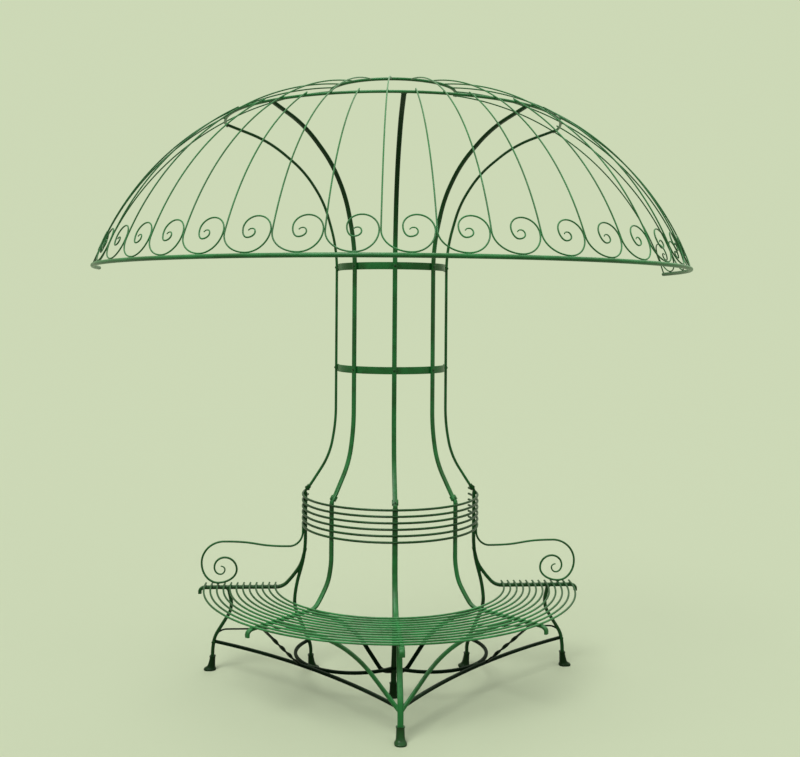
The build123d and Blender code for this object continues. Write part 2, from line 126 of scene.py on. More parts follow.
def brushed_paint_group():
    """Brushed paint on hammered iron: mottled, paled on top by sun and painted light, with painted
    shade.
    """
    group = bpy.data.node_groups.new("brushed_paint", "ShaderNodeTree")
    sockets(
        group, "INPUT", Paint="Color", Shade="Color", Faded="Color", Grime="Color", Chip="Color",
        Fade_Amount="Float", Grime_Amount="Float", Top_Grime="Float", Chip_Amount="Float",
        Mottle_Scale="Float", Gloss_Loss="Float",
    )
    sockets(group, "OUTPUT", Colour="Color", Roughness="Float", Height="Float", Cleanness="Float")
    given = place(group, "NodeGroupInput")
    where = place(group, "ShaderNodeTexCoord")

    def noise(scale, detail, roughness):
        return place(
            group, "ShaderNodeTexNoise",
            {"Vector": where["Object"], "Scale": scale, "Detail": detail, "Roughness": roughness},
        )[0]

    mottle = smooth_ramp(group, noise(given["Mottle Scale"], 5, 0.6), 0.36, 0.66)
    streak = noise(65, 4, 0.65)
    grit = noise(420, 2, 0.5)
    facing = place(group, "ShaderNodeSeparateXYZ", {0: where["Normal"]})[2]
    # Paler on top surfaces: partly paint faded by the sun, partly painted light from above.
    on_top = smooth_ramp(group, facing, 0.15, 0.95)
    weathered_and_top_lit = calc(group, "MULTIPLY", on_top, smooth_ramp(group, streak, 0.30, 0.62))
    fade_and_top_light = calc(group, "MULTIPLY", weathered_and_top_lit, given["Fade Amount"])
    edge = place(group, "ShaderNodeAttribute", attribute_name="edge")["Fac"]
    chip_noise = calc(group, "MULTIPLY_ADD", edge, 0.07, noise(85, 6, 0.72))
    chip_from = calc(group, "SUBTRACT", 0.76, calc(group, "MULTIPLY", given["Chip Amount"], 0.1))
    chip = smooth_ramp(group, chip_noise, chip_from, calc(group, "ADD", chip_from, 0.035))
    paint = blend_colours(group, mottle, given["Shade"], given["Paint"])
    faded_and_top_lit = blend_colours(group, fade_and_top_light, paint, given["Faded"])
    # Painted shade: darker towards the end frames, low down inside the legs under the seat, and, by an
    # amount of its own, high up under the canopy.
    at = place(group, "ShaderNodeSeparateXYZ", {0: where["Object"]})
    across, along = (calc(group, "MULTIPLY", at[axis], at[axis]) for axis in (0, 1))
    reach = calc(group, "ADD", across, along)
    at_ends = smooth_ramp(group, calc(group, "DIVIDE", across, reach), *PAINTED_SHADE_ENDS)
    at_ends = calc(group, "MULTIPLY", at_ends, given["Grime Amount"])
    low = smooth_ramp(group, at[2], *PAINTED_SHADE_UNDER_SEAT)
    inside = smooth_ramp(group, reach, *[radius ** 2 for radius in PAINTED_SHADE_INSIDE_LEGS])
    under_top = smooth_ramp(group, at[2], *PAINTED_SHADE_UNDER_CANOPY)
    under_top = calc(group, "MULTIPLY", under_top, given["Top Grime"])
    shade_under_seat = calc(group, "MULTIPLY", calc(group, "MULTIPLY", low, inside), 0.95)
    painted_shade = calc(group, "MAXIMUM", calc(group, "MAXIMUM", at_ends, shade_under_seat), under_top)
    with_painted_shade = blend_colours(group, painted_shade, faded_and_top_lit, given["Grime"])
    hammer = place(
        group, "ShaderNodeTexVoronoi",
        {"Vector": where["Object"], "Scale": 55, "Smoothness": 0.6}, feature="SMOOTH_F1",
    )[0]
    dulled = calc(group, "MULTIPLY_ADD", mottle, 0.12, given["Gloss Loss"])
    dulled = calc(group, "MULTIPLY_ADD", fade_and_top_light, 0.25, dulled)
    relief = calc(group, "MULTIPLY_ADD", streak, 0.25, hammer)
    relief = calc(group, "MULTIPLY_ADD", grit, 0.12, relief)
    # The last output is how far a place is free of painted shade; the coat is thinned by it, so painted
    # shade also reflects less.
    place(group, "NodeGroupOutput", {
        "Colour": blend_colours(group, chip, with_painted_shade, given["Chip"]),
        "Roughness": calc(group, "MULTIPLY_ADD", chip, 0.3, dulled),
        "Height": calc(group, "MULTIPLY_ADD", chip, -0.35, relief),
        "Cleanness": calc(group, "MULTIPLY_ADD", painted_shade, -0.95, 1),
    })
    return group


BRUSHED_PAINT = brushed_paint_group()


def painted_iron(
    name, colours, fade_and_top_light, painted_shade, canopy_shade=0.0, chips=0.5, mottle_scale=7, gloss_loss=0.30, relief=0.30,
    gloss=0.30,
):
    """A material of the green paint, with how much fade and painted light on top, painted shade,
    chipping and dulling.
    """
    material = bpy.data.materials.new(name)
    material.use_nodes = True
    tree = material.node_tree
    coat = place(tree, "ShaderNodeGroup", colours | {
        "Fade Amount": fade_and_top_light, "Grime Amount": painted_shade, "Top Grime": canopy_shade, "Chip Amount": chips,
        "Mottle Scale": mottle_scale, "Gloss Loss": gloss_loss,
    }, node_tree=BRUSHED_PAINT)
    hammered = {"Height": coat["Height"], "Strength": relief, "Distance": HAMMER_DEPTH}
    # The coat thins where shade is painted, so those parts reflect less.
    linked = {
        "Base Color": coat["Colour"], "Roughness": coat["Roughness"],
        "Coat Weight": calc(tree, "MULTIPLY", coat["Cleanness"], COAT_SHARE * gloss),
        "Normal": place(tree, "ShaderNodeBump", hammered)["Normal"],
    }
    shader = tree.nodes["Principled BSDF"].inputs
    for label, value in linked.items():
        tree.links.new(value, shader[label])
    shader["Coat Roughness"].default_value = COAT_ROUGHNESS
    shader["Specular IOR Level"].default_value = BODY_SHARE * gloss
    return material


SECTION = {"Width": "Float", "Thickness": "Float", "Edge_Radius": "Float"}
ROUND = {"Count": "Int", "First_Angle": "Float", "Angle_Step": "Float", "Middle_Slack": "Float"}


def start_tree(name, **kinds):
    """A Geometry Nodes tree that takes a mesh and named sizes, with the sockets of its inputs."""
    tree = bpy.data.node_groups.new(name, "GeometryNodeTree")
    sockets(tree, "INPUT", Geometry="Geometry", **kinds, Finish="Material")
    sockets(tree, "OUTPUT", Geometry="Geometry")
    return tree, place(tree, "NodeGroupInput")


def point_parts(tree):
    """The coordinates of a point."""
    return place(tree, "ShaderNodeSeparateXYZ", {0: place(tree, "GeometryNodeInputPosition")[0]})


def bar_section(tree, given):
    """The outline of a bar's section, with how near each point is to a rounded edge."""
    width, thickness, edge = given["Width"], given["Thickness"], given["Edge Radius"]
    sides = {"Width": width, "Height": thickness}
    outline = place(tree, "GeometryNodeCurvePrimitiveQuadrilateral", sides)[0]
    rounding = {"Curve": outline, "Count": 4, "Radius": edge}
    outline = place(tree, "GeometryNodeFilletCurve", rounding, mode="POLY")[0]
    at = point_parts(tree)
    into = []
    for place_across, size in ((at[0], width), (at[1], thickness)):
        flat_half = calc(tree, "SUBTRACT", calc(tree, "MULTIPLY", size, 0.5), edge)
        into.append(calc(tree, "SUBTRACT", calc(tree, "ABSOLUTE", place_across), flat_half))
    nearness = calc(tree, "DIVIDE", calc(tree, "MINIMUM", *into), edge)
    marked = {"Geometry": outline, "Name": "edge", "Value": nearness}
    return place(tree, "GeometryNodeStoreNamedAttribute", marked)[0]


def sweep(tree, given, path, **more):
    """A closed bar of the tree's section along a path."""
    swept = {"Curve": path, "Profile Curve": bar_section(tree, given), "Fill Caps": True}
    return place(tree, "GeometryNodeCurveToMesh", swept | more)[0]


def frame_angle(tree, given, index):
    """The angle of a frame by its number, with the two middle frames drawn in towards the front."""
    turn = calc(tree, "MULTIPLY_ADD", index, given["Angle Step"], given["First Angle"])
    drawn_in = calc(tree, "SINE", calc(tree, "MULTIPLY", index, pi / 2))
    return calc(tree, "MULTIPLY_ADD", drawn_in, given["Middle Slack"], turn)


def turned(tree, angle):
    """The rotation by an angle about the axis of the half circle."""
    euler = place(tree, "ShaderNodeCombineXYZ", {"Z": angle})[0]
    return place(tree, "FunctionNodeEulerToRotation", {0: euler})[0]


def set_round(tree, given, piece):
    """The piece repeated round the axis."""
    posts = place(tree, "GeometryNodePoints", {"Count": given["Count"]})[0]
    angle = frame_angle(tree, given, place(tree, "GeometryNodeInputIndex")[0])
    spread = {"Points": posts, "Instance": piece, "Rotation": turned(tree, angle)}
    return place(tree, "GeometryNodeInstanceOnPoints", spread)[0]


def close_tree(tree, given, piece):
    """The tree's end: real geometry, smooth apart from sharp corners, in the piece's finish."""
    piece = place(tree, "GeometryNodeRealizeInstances", {"Geometry": piece})[0]
    piece = place(tree, "GeometryNodeSetShadeSmooth", {"Geometry": piece})[0]
    corner = place(tree, "GeometryNodeInputMeshEdgeAngle")["Unsigned Angle"]
    corner = calc(tree, "GREATER_THAN", corner, radians(38))
    sharp = {"Geometry": piece, "Selection": corner, "Shade Smooth": False}
    piece = place(tree, "GeometryNodeSetShadeSmooth", sharp, domain="EDGE")[0]
    finished = {"Geometry": piece, "Material": given["Finish"]}
    piece = place(tree, "GeometryNodeSetMaterial", finished)[0]
    place(tree, "NodeGroupOutput", {"Geometry": piece})
    return tree


def forged_bar_tree():
    """Bars bent at the corners of their routes and set round the axis."""
    tree, given = start_tree("forged_bar", **SECTION, **ROUND)
    path = place(tree, "GeometryNodeMeshToCurve", {"Mesh": given["Geometry"]})[0]
    bend = place(tree, "GeometryNodeInputNamedAttribute", {"Name": "bend"})[0]
    bent = {"Curve": path, "Count": 9, "Radius": bend}
    path = place(tree, "GeometryNodeFilletCurve", bent, mode="POLY")[0]
    return close_tree(tree, given, set_round(tree, given, sweep(tree, given, path)))


FORGED_BAR = forged_bar_tree()


def profile(radius, height):
    """A point in the vertical plane through the axis and the middle of the front."""
    return Vector((0, -radius, height))


def route_mesh(*routes):
    """Routes as lines of edges, with the radius of the bend at each corner."""
    points, lines, bends = [], [], []
    for route in routes:
        first = len(points)
        lines += [(first + i, first + i + 1) for i in range(len(route) - 1)]
        points += route
        bends.append(0)
        for before, corner, after in zip(route, route[1:], route[2:]):
            arriving, leaving = corner - before, after - corner
            reach = BEND_SHARE * min(arriving.length, leaving.length)
            bends.append(reach / tan(arriving.angle(leaving) / 2))
        bends.append(0)
    mesh = bpy.data.meshes.new("route")
    mesh.from_pydata(points, lines, [])
    mesh.attributes.new("bend", "FLOAT", "POINT").data.foreach_set("value", bends)
    return mesh


def profile_route(route):
    """One route in the profile plane as a line of edges."""
    return route_mesh([profile(*point) for point in route])


def grow(name, tree, finish, mesh=None, **sizes):
    """A piece made by a tree, from a mesh if it starts with one, as a plain mesh at the origin."""
    if mesh is None:
        mesh = bpy.data.meshes.new("start")
    piece = bpy.data.objects.new(name, mesh)
    bpy.context.scene.collection.objects.link(piece)
    modifier = piece.modifiers.new(name, "NODES")
    modifier.node_group = tree
    labels = {label.replace("_", " "): value for label, value in sizes.items()}
    labels["Finish"] = finish
    for item in tree.interface.items_tree:
        if item.in_out == "INPUT" and item.name in labels:
            modifier[item.identifier] = labels[item.name]
    graph = bpy.context.evaluated_depsgraph_get()
    plain = bpy.data.meshes.new_from_object(piece.evaluated_get(graph), depsgraph=graph)
    piece.modifiers.remove(modifier)
    piece.data = plain
    bpy.data.meshes.remove(mesh)
    plain.name = name
    return piece


def fit(piece, *nodes):
    """Puts a finished piece on the bench, in place of the plain nodes that it stands for."""
    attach(piece, "root")
    if nodes:
        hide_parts(*nodes)


# The frames darken with painted shade towards the end frames and low under the seat.
FRAME_PAINT = painted_iron("frame_paint", GARDEN_GREEN, fade_and_top_light=0.35, painted_shade=0.68, relief=0.35)

rear_posts = grow(
    "rear_posts", FORGED_BAR, FRAME_PAINT, profile_route(REAR_ROUTE), **LEG_BAR, **THREE_FRAMES
)
fit(rear_posts, "rear_post_left", "rear_post_centre", "rear_post_right")

post_tenons = grow(
    "post_tenons", FORGED_BAR, FRAME_PAINT, profile_route(TENON_ROUTE), **FLAT_BAR, **THREE_FRAMES
)
fit(post_tenons)

# Seat bearers and middle posts. A bar leaves the back, sweeps forward under the seat and turns down
# over its front edge. On the two middle frames it is lighter and one with the post above.
TWO_MIDDLES = {"Count": 2, "First_Angle": -MIDDLE_ANGLE, "Angle_Step": 2 * MIDDLE_ANGLE}
BEARER_LEVEL = 0.450
BEARER_HEIGHT = BEARER_LEVEL - BAR_THICKNESS / 2
LEG_BEARER_HEIGHT = BEARER_LEVEL - LEG_BAR["Thickness"] / 2
BEARER_ROOT_HEIGHT = 0.648
BEARER_LINE = [
    (0.478, 0.120), (0.522, 0.058), (0.575, 0), (0.9993, 0), (1.018, -0.0107), (1.018, -0.032),
]


def bearer_route(root_radius, height):
    """The route of a bearer from the post to its nose, with its level part at a height."""
    return [(root_radius, BEARER_ROOT_HEIGHT)] + [(out, height + rise) for out, rise in BEARER_LINE]


LEG_BEARER_ROUTE = bearer_route(LEG_POST_RADIUS, LEG_BEARER_HEIGHT)
MIDDLE_ROUTE = POST_TOP[::-1] + bearer_route(POST_RADIUS, BEARER_HEIGHT)

seat_bearers = grow(
    "seat_bearers", FORGED_BAR, FRAME_PAINT, profile_route(LEG_BEARER_ROUTE), **LEG_BAR, **THREE_FRAMES
)
fit(seat_bearers, "seat_bearer_left", "seat_bearer_centre", "seat_bearer_right")

middle_posts = grow(
    "middle_posts", FORGED_BAR, FRAME_PAINT, profile_route(MIDDLE_ROUTE), **FLAT_BAR, **TWO_MIDDLES
)
fit(middle_posts, "middle_post_left", "middle_post_right")

# Front legs. Bars of the heavy section kick forward from under the seat to their feet and are
# welded to the bearers at the top.
LEG_TOP_DROP = 0.004
LEG_TOP = (0.866, LEG_BEARER_HEIGHT - LEG_TOP_DROP)
FRONT_ROUTE = [(0.948, 0.035), (0.948, 0.115), (0.937, 0.180), (0.842, 0.332), LEG_TOP]

front_legs = grow(
    "front_legs", FORGED_BAR, FRAME_PAINT, profile_route(FRONT_ROUTE), **LEG_BAR, **THREE_FRAMES
)
fit(front_legs, "front_leg_left", "front_leg_centre", "front_leg_right")

# Feet. Each leg stands in a forged shoe: a bead at the top, a neck that widens downwards and a rounded
# flange whose toe points away from the space under the seat. The shoes are painted a darker green, with
# painted shade on the end feet and on the rear feet under the seat.
FRONT_FOOT_RADIUS = FRONT_ROUTE[0][0]
REAR_FOOT_RADIUS = REAR_ROUTE[0][0]
FOOT_TOE = 0.014
FOOT_CORNER_SHARE = 0.42
CORNER_STEPS = 7
# A darker green, for the feet, bolts and rivets and for the back rails.
DARKER_GREEN = {
    "Paint": (0.008, 0.074, 0.012, 1), "Shade": (0.005, 0.040, 0.005, 1),
    "Faded": (0.065, 0.230, 0.080, 1), "Grime": (0.003, 0.018, 0.003, 1),
    "Chip": (0.024, 0.019, 0.015, 1),
}
SHOE_OUTLINES = [
    (0.0552, 0.0622, 1.00, 0.0), (0.0570, 0.0640, 1.00, 0.0018), (0.0570, 0.0640, 1.00, 0.0062),
    (0.0556, 0.0622, 0.98, 0.0082), (0.0505, 0.0545, 0.85, 0.0116), (0.0455, 0.0470, 0.66, 0.0152),
    (0.0422, 0.0418, 0.49, 0.0205), (0.0402, 0.0370, 0.33, 0.0310), (0.0389, 0.0325, 0.18, 0.0460),
    (0.0382, 0.0294, 0.06, 0.0600), (0.0380, 0.0282, 0.00, 0.0686), (0.0410, 0.0310, 0.00, 0.0696),
    (0.0420, 0.0320, 0.00, 0.0714), (0.0420, 0.0320, 0.00, 0.0734), (0.0404, 0.0304, 0.00, 0.0750),
]


def set_round_tree():
    """A piece made in the profile plane and set round the axis."""
    tree, given = start_tree("set_round", **ROUND)
    return close_tree(tree, given, set_round(tree, given, given["Geometry"]))


SET_ROUND = set_round_tree()


def oval(width, depth):
    """The points round a rectangle with large round corners."""
    corner = FOOT_CORNER_SHARE * min(width, depth)
    points = []
    for quarter, (right, out) in enumerate(((1, 1), (-1, 1), (-1, -1), (1, -1))):
        centre = (right * (width / 2 - corner), out * (depth / 2 - corner))
        for step in range(CORNER_STEPS):
            turn = pi / 2 * (quarter + step / (CORNER_STEPS - 1))
            points.append((centre[0] + corner * cos(turn), centre[1] + corner * sin(turn)))
    return points


def face_mesh(name, form):
    """The faces of a form as a mesh."""
    mesh = bpy.data.meshes.new(name)
    form.to_mesh(mesh)
    form.free()
    return mesh


def shoe_mesh(toe):
    """A closed foot round the vertical, its toe towards the front or, if negative, the rear."""
    shoe = bmesh.new()
    rims = [
        [shoe.verts.new((x, y - toe * share, height)) for x, y in oval(width, depth)]
        for width, depth, share, height in SHOE_OUTLINES
    ]
    for lower, upper in zip(rims, rims[1:]):
        for side in range(len(lower)):
            shoe.faces.new((lower[side - 1], lower[side], upper[side], upper[side - 1]))
    shoe.faces.new(rims[0][::-1])
    shoe.faces.new(rims[-1])
    return face_mesh("shoe", shoe)


FOOT_PAINT = painted_iron(
    "foot_paint", DARKER_GREEN, fade_and_top_light=0.2, painted_shade=0.9, chips=0.9, mottle_scale=18, gloss_loss=0.36,
    relief=0.45, gloss=0.25,
)


def set_of_feet(name, radius, toe):
    """The three feet of one row."""
    shoe = shoe_mesh(toe)
    shoe.transform(Matrix.Translation(profile(radius, 0)))
    return grow(name, SET_ROUND, FOOT_PAINT, shoe, **THREE_FRAMES)


fit(set_of_feet("front_row_feet", FRONT_FOOT_RADIUS, FOOT_TOE), "front_feet")
fit(set_of_feet("rear_row_feet", REAR_FOOT_RADIUS, -FOOT_TOE), "rear_feet")

# Stretchers. Lighter bars lie flat near the floor: a shallow arc between the front legs and a
# deep arc between the rear legs on each half, welded together where they touch.
STRETCHER = {"Width": 0.018, "Thickness": 0.015, "Edge_Radius": 0.0045}
STRETCHER_HEIGHT = 0.152
TOUCH_RADIUS = 0.585
TWO_HALVES = {"Count": 2, "First_Angle": -END_ANGLE, "Angle_Step": END_ANGLE}
SHADED_GREEN = {
    "Paint": (0.003, 0.022, 0.006, 1), "Shade": (0.001, 0.010, 0.002, 1),
    "Faded": (0.014, 0.060, 0.022, 1), "Grime": (0.001, 0.008, 0.002, 1),
    "Chip": (0.018, 0.014, 0.011, 1),
}


def reach_at(route, height):
    """How far out the centre line of a leg is at a height."""
    for (radius, low), (next_radius, high) in zip(route, route[1:]):
        if low <= height <= high:
            return radius + (next_radius - radius) * (height - low) / (high - low)


FRONT_REACH = reach_at(FRONT_ROUTE, STRETCHER_HEIGHT)
REAR_REACH = reach_at(REAR_ROUTE, STRETCHER_HEIGHT)


def around(angle, radius, height):
    """A point at an angle round the axis, from the middle of the front."""
    return Vector((radius * sin(angle), -radius * cos(angle), height))


def arc_bar_tree():
    """A bar along an arc through three points, set round the axis."""
    tree, given = start_tree(
        "arc_bar", Start="Vector", Touch="Vector", End="Vector", **SECTION, **ROUND
    )
    arc = {"Resolution": 56, "Start": given["Start"], "Middle": given["Touch"], "End": given["End"]}
    path = place(tree, "GeometryNodeCurveArc", arc, mode="POINTS")[0]
    return close_tree(tree, given, set_round(tree, given, sweep(tree, given, path)))


ARC_BAR = arc_bar_tree()
SHADED_PAINT = painted_iron(
    "shaded_paint", SHADED_GREEN, fade_and_top_light=0.2, painted_shade=0.6, mottle_scale=6, gloss_loss=0.34, relief=0.35,
    gloss=0.07,
)


def stretchers(name, reach, touch_radius):
    """The two stretchers of one row of legs."""
    return grow(
        name, ARC_BAR, SHADED_PAINT, Start=around(0, reach, STRETCHER_HEIGHT),
        Touch=around(END_ANGLE / 2, touch_radius, STRETCHER_HEIGHT),
        End=around(END_ANGLE, reach, STRETCHER_HEIGHT), **STRETCHER, **TWO_HALVES,
    )


outer_stretchers = stretchers("outer_stretchers", FRONT_REACH, TOUCH_RADIUS + STRETCHER["Width"] / 2)
fit(outer_stretchers, "outer_stretcher_left", "outer_stretcher_right")

inner_stretchers = stretchers("inner_stretchers", REAR_REACH, TOUCH_RADIUS - STRETCHER["Width"] / 2)
fit(inner_stretchers, "inner_stretcher_left", "inner_stretcher_right")

# Braces. From the two legs of the front frame a pair of bars on edge rises to the middle bearers.
# The front pair climbs at once in a wide arch, the rear pair runs out level for a hand's width first.
BRACE = {"Width": 0.012, "Thickness": 0.020, "Edge_Radius": 0.0042}
BRACE_START_HEIGHT = STRETCHER_HEIGHT - (STRETCHER["Thickness"] + BRACE["Thickness"]) / 2
BRACE_END_HEIGHT = BEARER_HEIGHT - BRACE["Thickness"] / 2
FRONT_BRACE_ENDS = (reach_at(FRONT_ROUTE, BRACE_START_HEIGHT), 0.815)
REAR_BRACE_ENDS = (reach_at(REAR_ROUTE, BRACE_START_HEIGHT), 0.590)
FRONT_BENDS = [(0.39, 0.83)]
REAR_BENDS = [(0.145, 0), (0.44, 0.62), (0.70, 0.88)]


def brace_pair(name, ends, bends, finish):
    """The right and the left brace of one leg."""
    routes = []
    for side in (MIDDLE_ANGLE, -MIDDLE_ANGLE):
        start = around(0, ends[0], BRACE_START_HEIGHT)
        span = around(side, ends[1], BRACE_END_HEIGHT) - start
        steps = [(0, 0)] + bends + [(1, 1)]
        routes.append([
            start + Vector((span.x * run, span.y * run, span.z * climb)) for run, climb in steps
        ])
    return grow(name, FORGED_BAR, finish, route_mesh(*routes), **BRACE, Count=1)


front_braces = brace_pair("front_braces", FRONT_BRACE_ENDS, FRONT_BENDS, FRAME_PAINT)
fit(front_braces, "front_brace_left", "front_brace_right")

rear_braces = brace_pair("rear_braces", REAR_BRACE_ENDS, REAR_BENDS, SHADED_PAINT)
fit(rear_braces, "rear_brace_left", "rear_brace_right")

# Twisted struts. A flat strip is twisted cold over its middle and props each middle bearer. It
# stands on the outer stretcher a little past the place where the stretchers touch.
STRUT = {"Width": 0.017, "Thickness": 0.007, "Edge_Radius": 0.0024}
STRUT_FOOT_ANGLE = radians(52.07)
STRUT_FOOT_RADIUS = 0.5995
STRUT_HEAD_RADIUS = 0.935
STRUT_HEAD_DROP = 0.003
STRUT_ROUTE = [
    around(STRUT_FOOT_ANGLE, STRUT_FOOT_RADIUS, STRETCHER_HEIGHT),
    around(MIDDLE_ANGLE, STRUT_HEAD_RADIUS, BEARER_HEIGHT - STRUT_HEAD_DROP),
]


def twisted_bar_tree():
    """A straight bar twisted between two shares of its length, and its mirror image."""
    tree, given = start_tree(
        "twisted_bar", Twist="Float", Twist_From="Float", Twist_To="Float", **SECTION
    )
    path = place(tree, "GeometryNodeMeshToCurve", {"Mesh": given["Geometry"]})[0]
    path = place(tree, "GeometryNodeResampleCurve", {"Curve": path, "Count": 140})[0]
    along = place(tree, "GeometryNodeSplineParameter")["Factor"]
    limits = {0: along, 1: given["Twist From"], 2: given["Twist To"], 3: 0.0, 4: given["Twist"]}
    tilt = place(tree, "ShaderNodeMapRange", limits)[0]
    path = place(tree, "GeometryNodeSetCurveTilt", {"Curve": path, "Tilt": tilt})[0]
    bar = sweep(tree, given, path)
    image = place(tree, "GeometryNodeTransform", {"Geometry": bar, "Scale": (-1, 1, 1)})[0]
    image = place(tree, "GeometryNodeFlipFaces", {"Mesh": image})[0]
    both = tree.nodes.new("GeometryNodeJoinGeometry")
    tree.links.new(bar, both.inputs[0])
    tree.links.new(image, both.inputs[0])
    return close_tree(tree, given, both.outputs[0])


twisted_struts = grow(
    "twisted_struts", twisted_bar_tree(), SHADED_PAINT, route_mesh(STRUT_ROUTE), Twist=3 * pi,
    Twist_From=0.13, Twist_To=0.70, **STRUT,
)
fit(twisted_struts, "twisted_strut_left", "twisted_strut_right")

# End ties. A thin iron rod joins the front and the rear leg of each end frame a little above the
# stretchers. Its ends dip into both legs and are welded there.
TIE_DIAMETER = 0.009
TIE_LOW, TIE_HIGH = 0.194, 0.216
TIE_END_REACH = 0.036
tie_rear, tie_front = (reach_at(route, TIE_LOW) for route in (REAR_ROUTE, FRONT_ROUTE))
TIE_ROUTE = [
    (tie_rear, TIE_LOW), (tie_rear + TIE_END_REACH, TIE_HIGH),
    (tie_front - TIE_END_REACH, TIE_HIGH), (tie_front, TIE_LOW),
]
BOTH_ENDS = {"Count": 2, "First_Angle": -END_ANGLE, "Angle_Step": 2 * END_ANGLE}
ROUND_SHARE = 0.499


def rod(diameter):
    """The section of a round rod: a square rounded off all the way."""
    return {"Width": diameter, "Thickness": diameter, "Edge_Radius": diameter * ROUND_SHARE}


end_ties = grow(
    "end_ties", FORGED_BAR, SHADED_PAINT, profile_route(TIE_ROUTE), **rod(TIE_DIAMETER), **BOTH_ENDS
)
fit(end_ties, "end_tie_left", "end_tie_right")

# Seat. Twelve round rods bent to half circles lie on the bearers, a rod's width or two apart,
# and are welded to each. Their green is a brighter copy of the frame's, painted light on the top-lit
# seat; on top it pales further, partly rubbed and sunned and partly painted light, and it darkens
# with painted shade towards the ends.
SLAT_COUNT = 12
SLAT_DIAMETER = 0.010
SLAT_OVERHANG = 0.030
HALF_ROUND = {"First_Angle": -END_ANGLE, "Last_Angle": END_ANGLE}
LIT_SEAT_GREEN = GARDEN_GREEN | {"Paint": (0.023, 0.290, 0.062, 1), "Shade": (0.012, 0.160, 0.026, 1)}


def ring_line(node, diameter):
    """The radius and the height of a ring's centre line, from the box of its node."""
    low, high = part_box(node)
    return -low[1] - diameter / 2, (low[2] + high[2]) / 2


seat_radius, slat_height = ring_line("seat_slat_01", SLAT_DIAMETER)
slat_pitch = seat_radius - ring_line("seat_slat_02", SLAT_DIAMETER)[0]


def place_round(tree, angle, radius, height):
    """The point at an angle round the axis, from the middle of the front."""
    right = calc(tree, "MULTIPLY", calc(tree, "SINE", angle), radius)
    out = calc(tree, "MULTIPLY", calc(tree, "COSINE", angle), calc(tree, "MULTIPLY", radius, -1))
    return place(tree, "ShaderNodeCombineXYZ", {"X": right, "Y": out, "Z": height})[0]


def ring_bar_tree():
    """Bars bent round the axis, one inside or below the other, past the end frames."""
    tree, given = start_tree(
        "ring_bar", Rings="Int", Radius="Float", Radius_Step="Float", Height="Float",
        Height_Step="Float", First_Angle="Float", Last_Angle="Float", Overhang="Float",
        Stations="Int", **SECTION
    )
    path = place(tree, "GeometryNodeCurvePrimitiveLine", {"End": (1, 0, 0)})[0]
    divided = {"Curve": path, "Count": given["Stations"]}
    path = place(tree, "GeometryNodeResampleCurve", divided)[0]
    repeated = {"Geometry": path, "Amount": given["Rings"]}
    path, number = place(tree, "GeometryNodeDuplicateElements", repeated, domain="SPLINE")
    along = place(tree, "GeometryNodeSplineParameter")["Factor"]
    radius = calc(tree, "MULTIPLY_ADD", number, given["Radius Step"], given["Radius"])
    height = calc(tree, "MULTIPLY_ADD", number, given["Height Step"], given["Height"])
    past = calc(tree, "DIVIDE", given["Overhang"], radius)
    first = calc(tree, "SUBTRACT", given["First Angle"], past)
    last = calc(tree, "ADD", given["Last Angle"], past)
    angle = calc(tree, "MULTIPLY_ADD", along, calc(tree, "SUBTRACT", last, first), first)
    bent = {"Geometry": path, "Position": place_round(tree, angle, radius, height)}
    path = place(tree, "GeometryNodeSetPosition", bent)[0]
    return close_tree(tree, given, sweep(tree, given, path))


RING_BAR = ring_bar_tree()
SEAT_PAINT = painted_iron(
    "seat_paint", LIT_SEAT_GREEN, fade_and_top_light=0.75, painted_shade=0.75, chips=0.6, mottle_scale=9, gloss_loss=0.28,
    relief=0.25,
)

seat_slats = grow(
    "seat_slats", RING_BAR, SEAT_PAINT, **rod(SLAT_DIAMETER), Rings=SLAT_COUNT, Radius=seat_radius,
    Radius_Step=-slat_pitch, Height=slat_height, Overhang=SLAT_OVERHANG, Stations=181, **HALF_ROUND,
)
fit(seat_slats, *[f"seat_slat_{index + 1:02d}" for index in range(SLAT_COUNT)])

# Seat welds. A bead of weld lies along both sides of every rod where it crosses a bearer. The beads
# are laid by hand, no two quite alike, and painted over with the seat.
SEAT_BEAD = (0.0095, 0.0030, 0.0026)
SEAT_BEAD_SPREAD = 0.0052
SEAT_BEAD_LIFT = 0.0008
FIVE_FRAMES = {
    "Count": 5, "First_Angle": -END_ANGLE, "Angle_Step": END_ANGLE / 2,
    "Middle_Slack": END_ANGLE / 2 - MIDDLE_ANGLE,
}
BEAD = {"Unevenness": "Float", "Roundness": "Int"}
HAND_WELDED = {"Unevenness": 0.18, "Roundness": 2}


def uneven(tree, size, share):
    """A size that is a little larger or smaller on each bead, by up to a share of it."""
    limits = {0: (-1, -1, -1), 1: (1, 1, 1), "Seed": 4}
    swell = place(tree, "FunctionNodeRandomValue", limits, data_type="FLOAT_VECTOR")[0]
    swell = place(tree, "ShaderNodeVectorMath", {0: swell, "Scale": share}, operation="SCALE")[0]
    terms = {0: size, 1: swell, 2: size}
    return place(tree, "ShaderNodeVectorMath", terms, operation="MULTIPLY_ADD")[0]


def lay_beads(tree, given, points, angle, size):
    """The end of a tree with a bead on every point, each turned and sized."""
    round_bead = {"Radius": 1.0, "Subdivisions": given["Roundness"]}
    laid = {
        "Points": points, "Instance": place(tree, "GeometryNodeMeshIcoSphere", round_bead)[0],
        "Rotation": turned(tree, angle), "Scale": uneven(tree, size, given["Unevenness"]),
    }
    return close_tree(tree, given, place(tree, "GeometryNodeInstanceOnPoints", laid)[0])


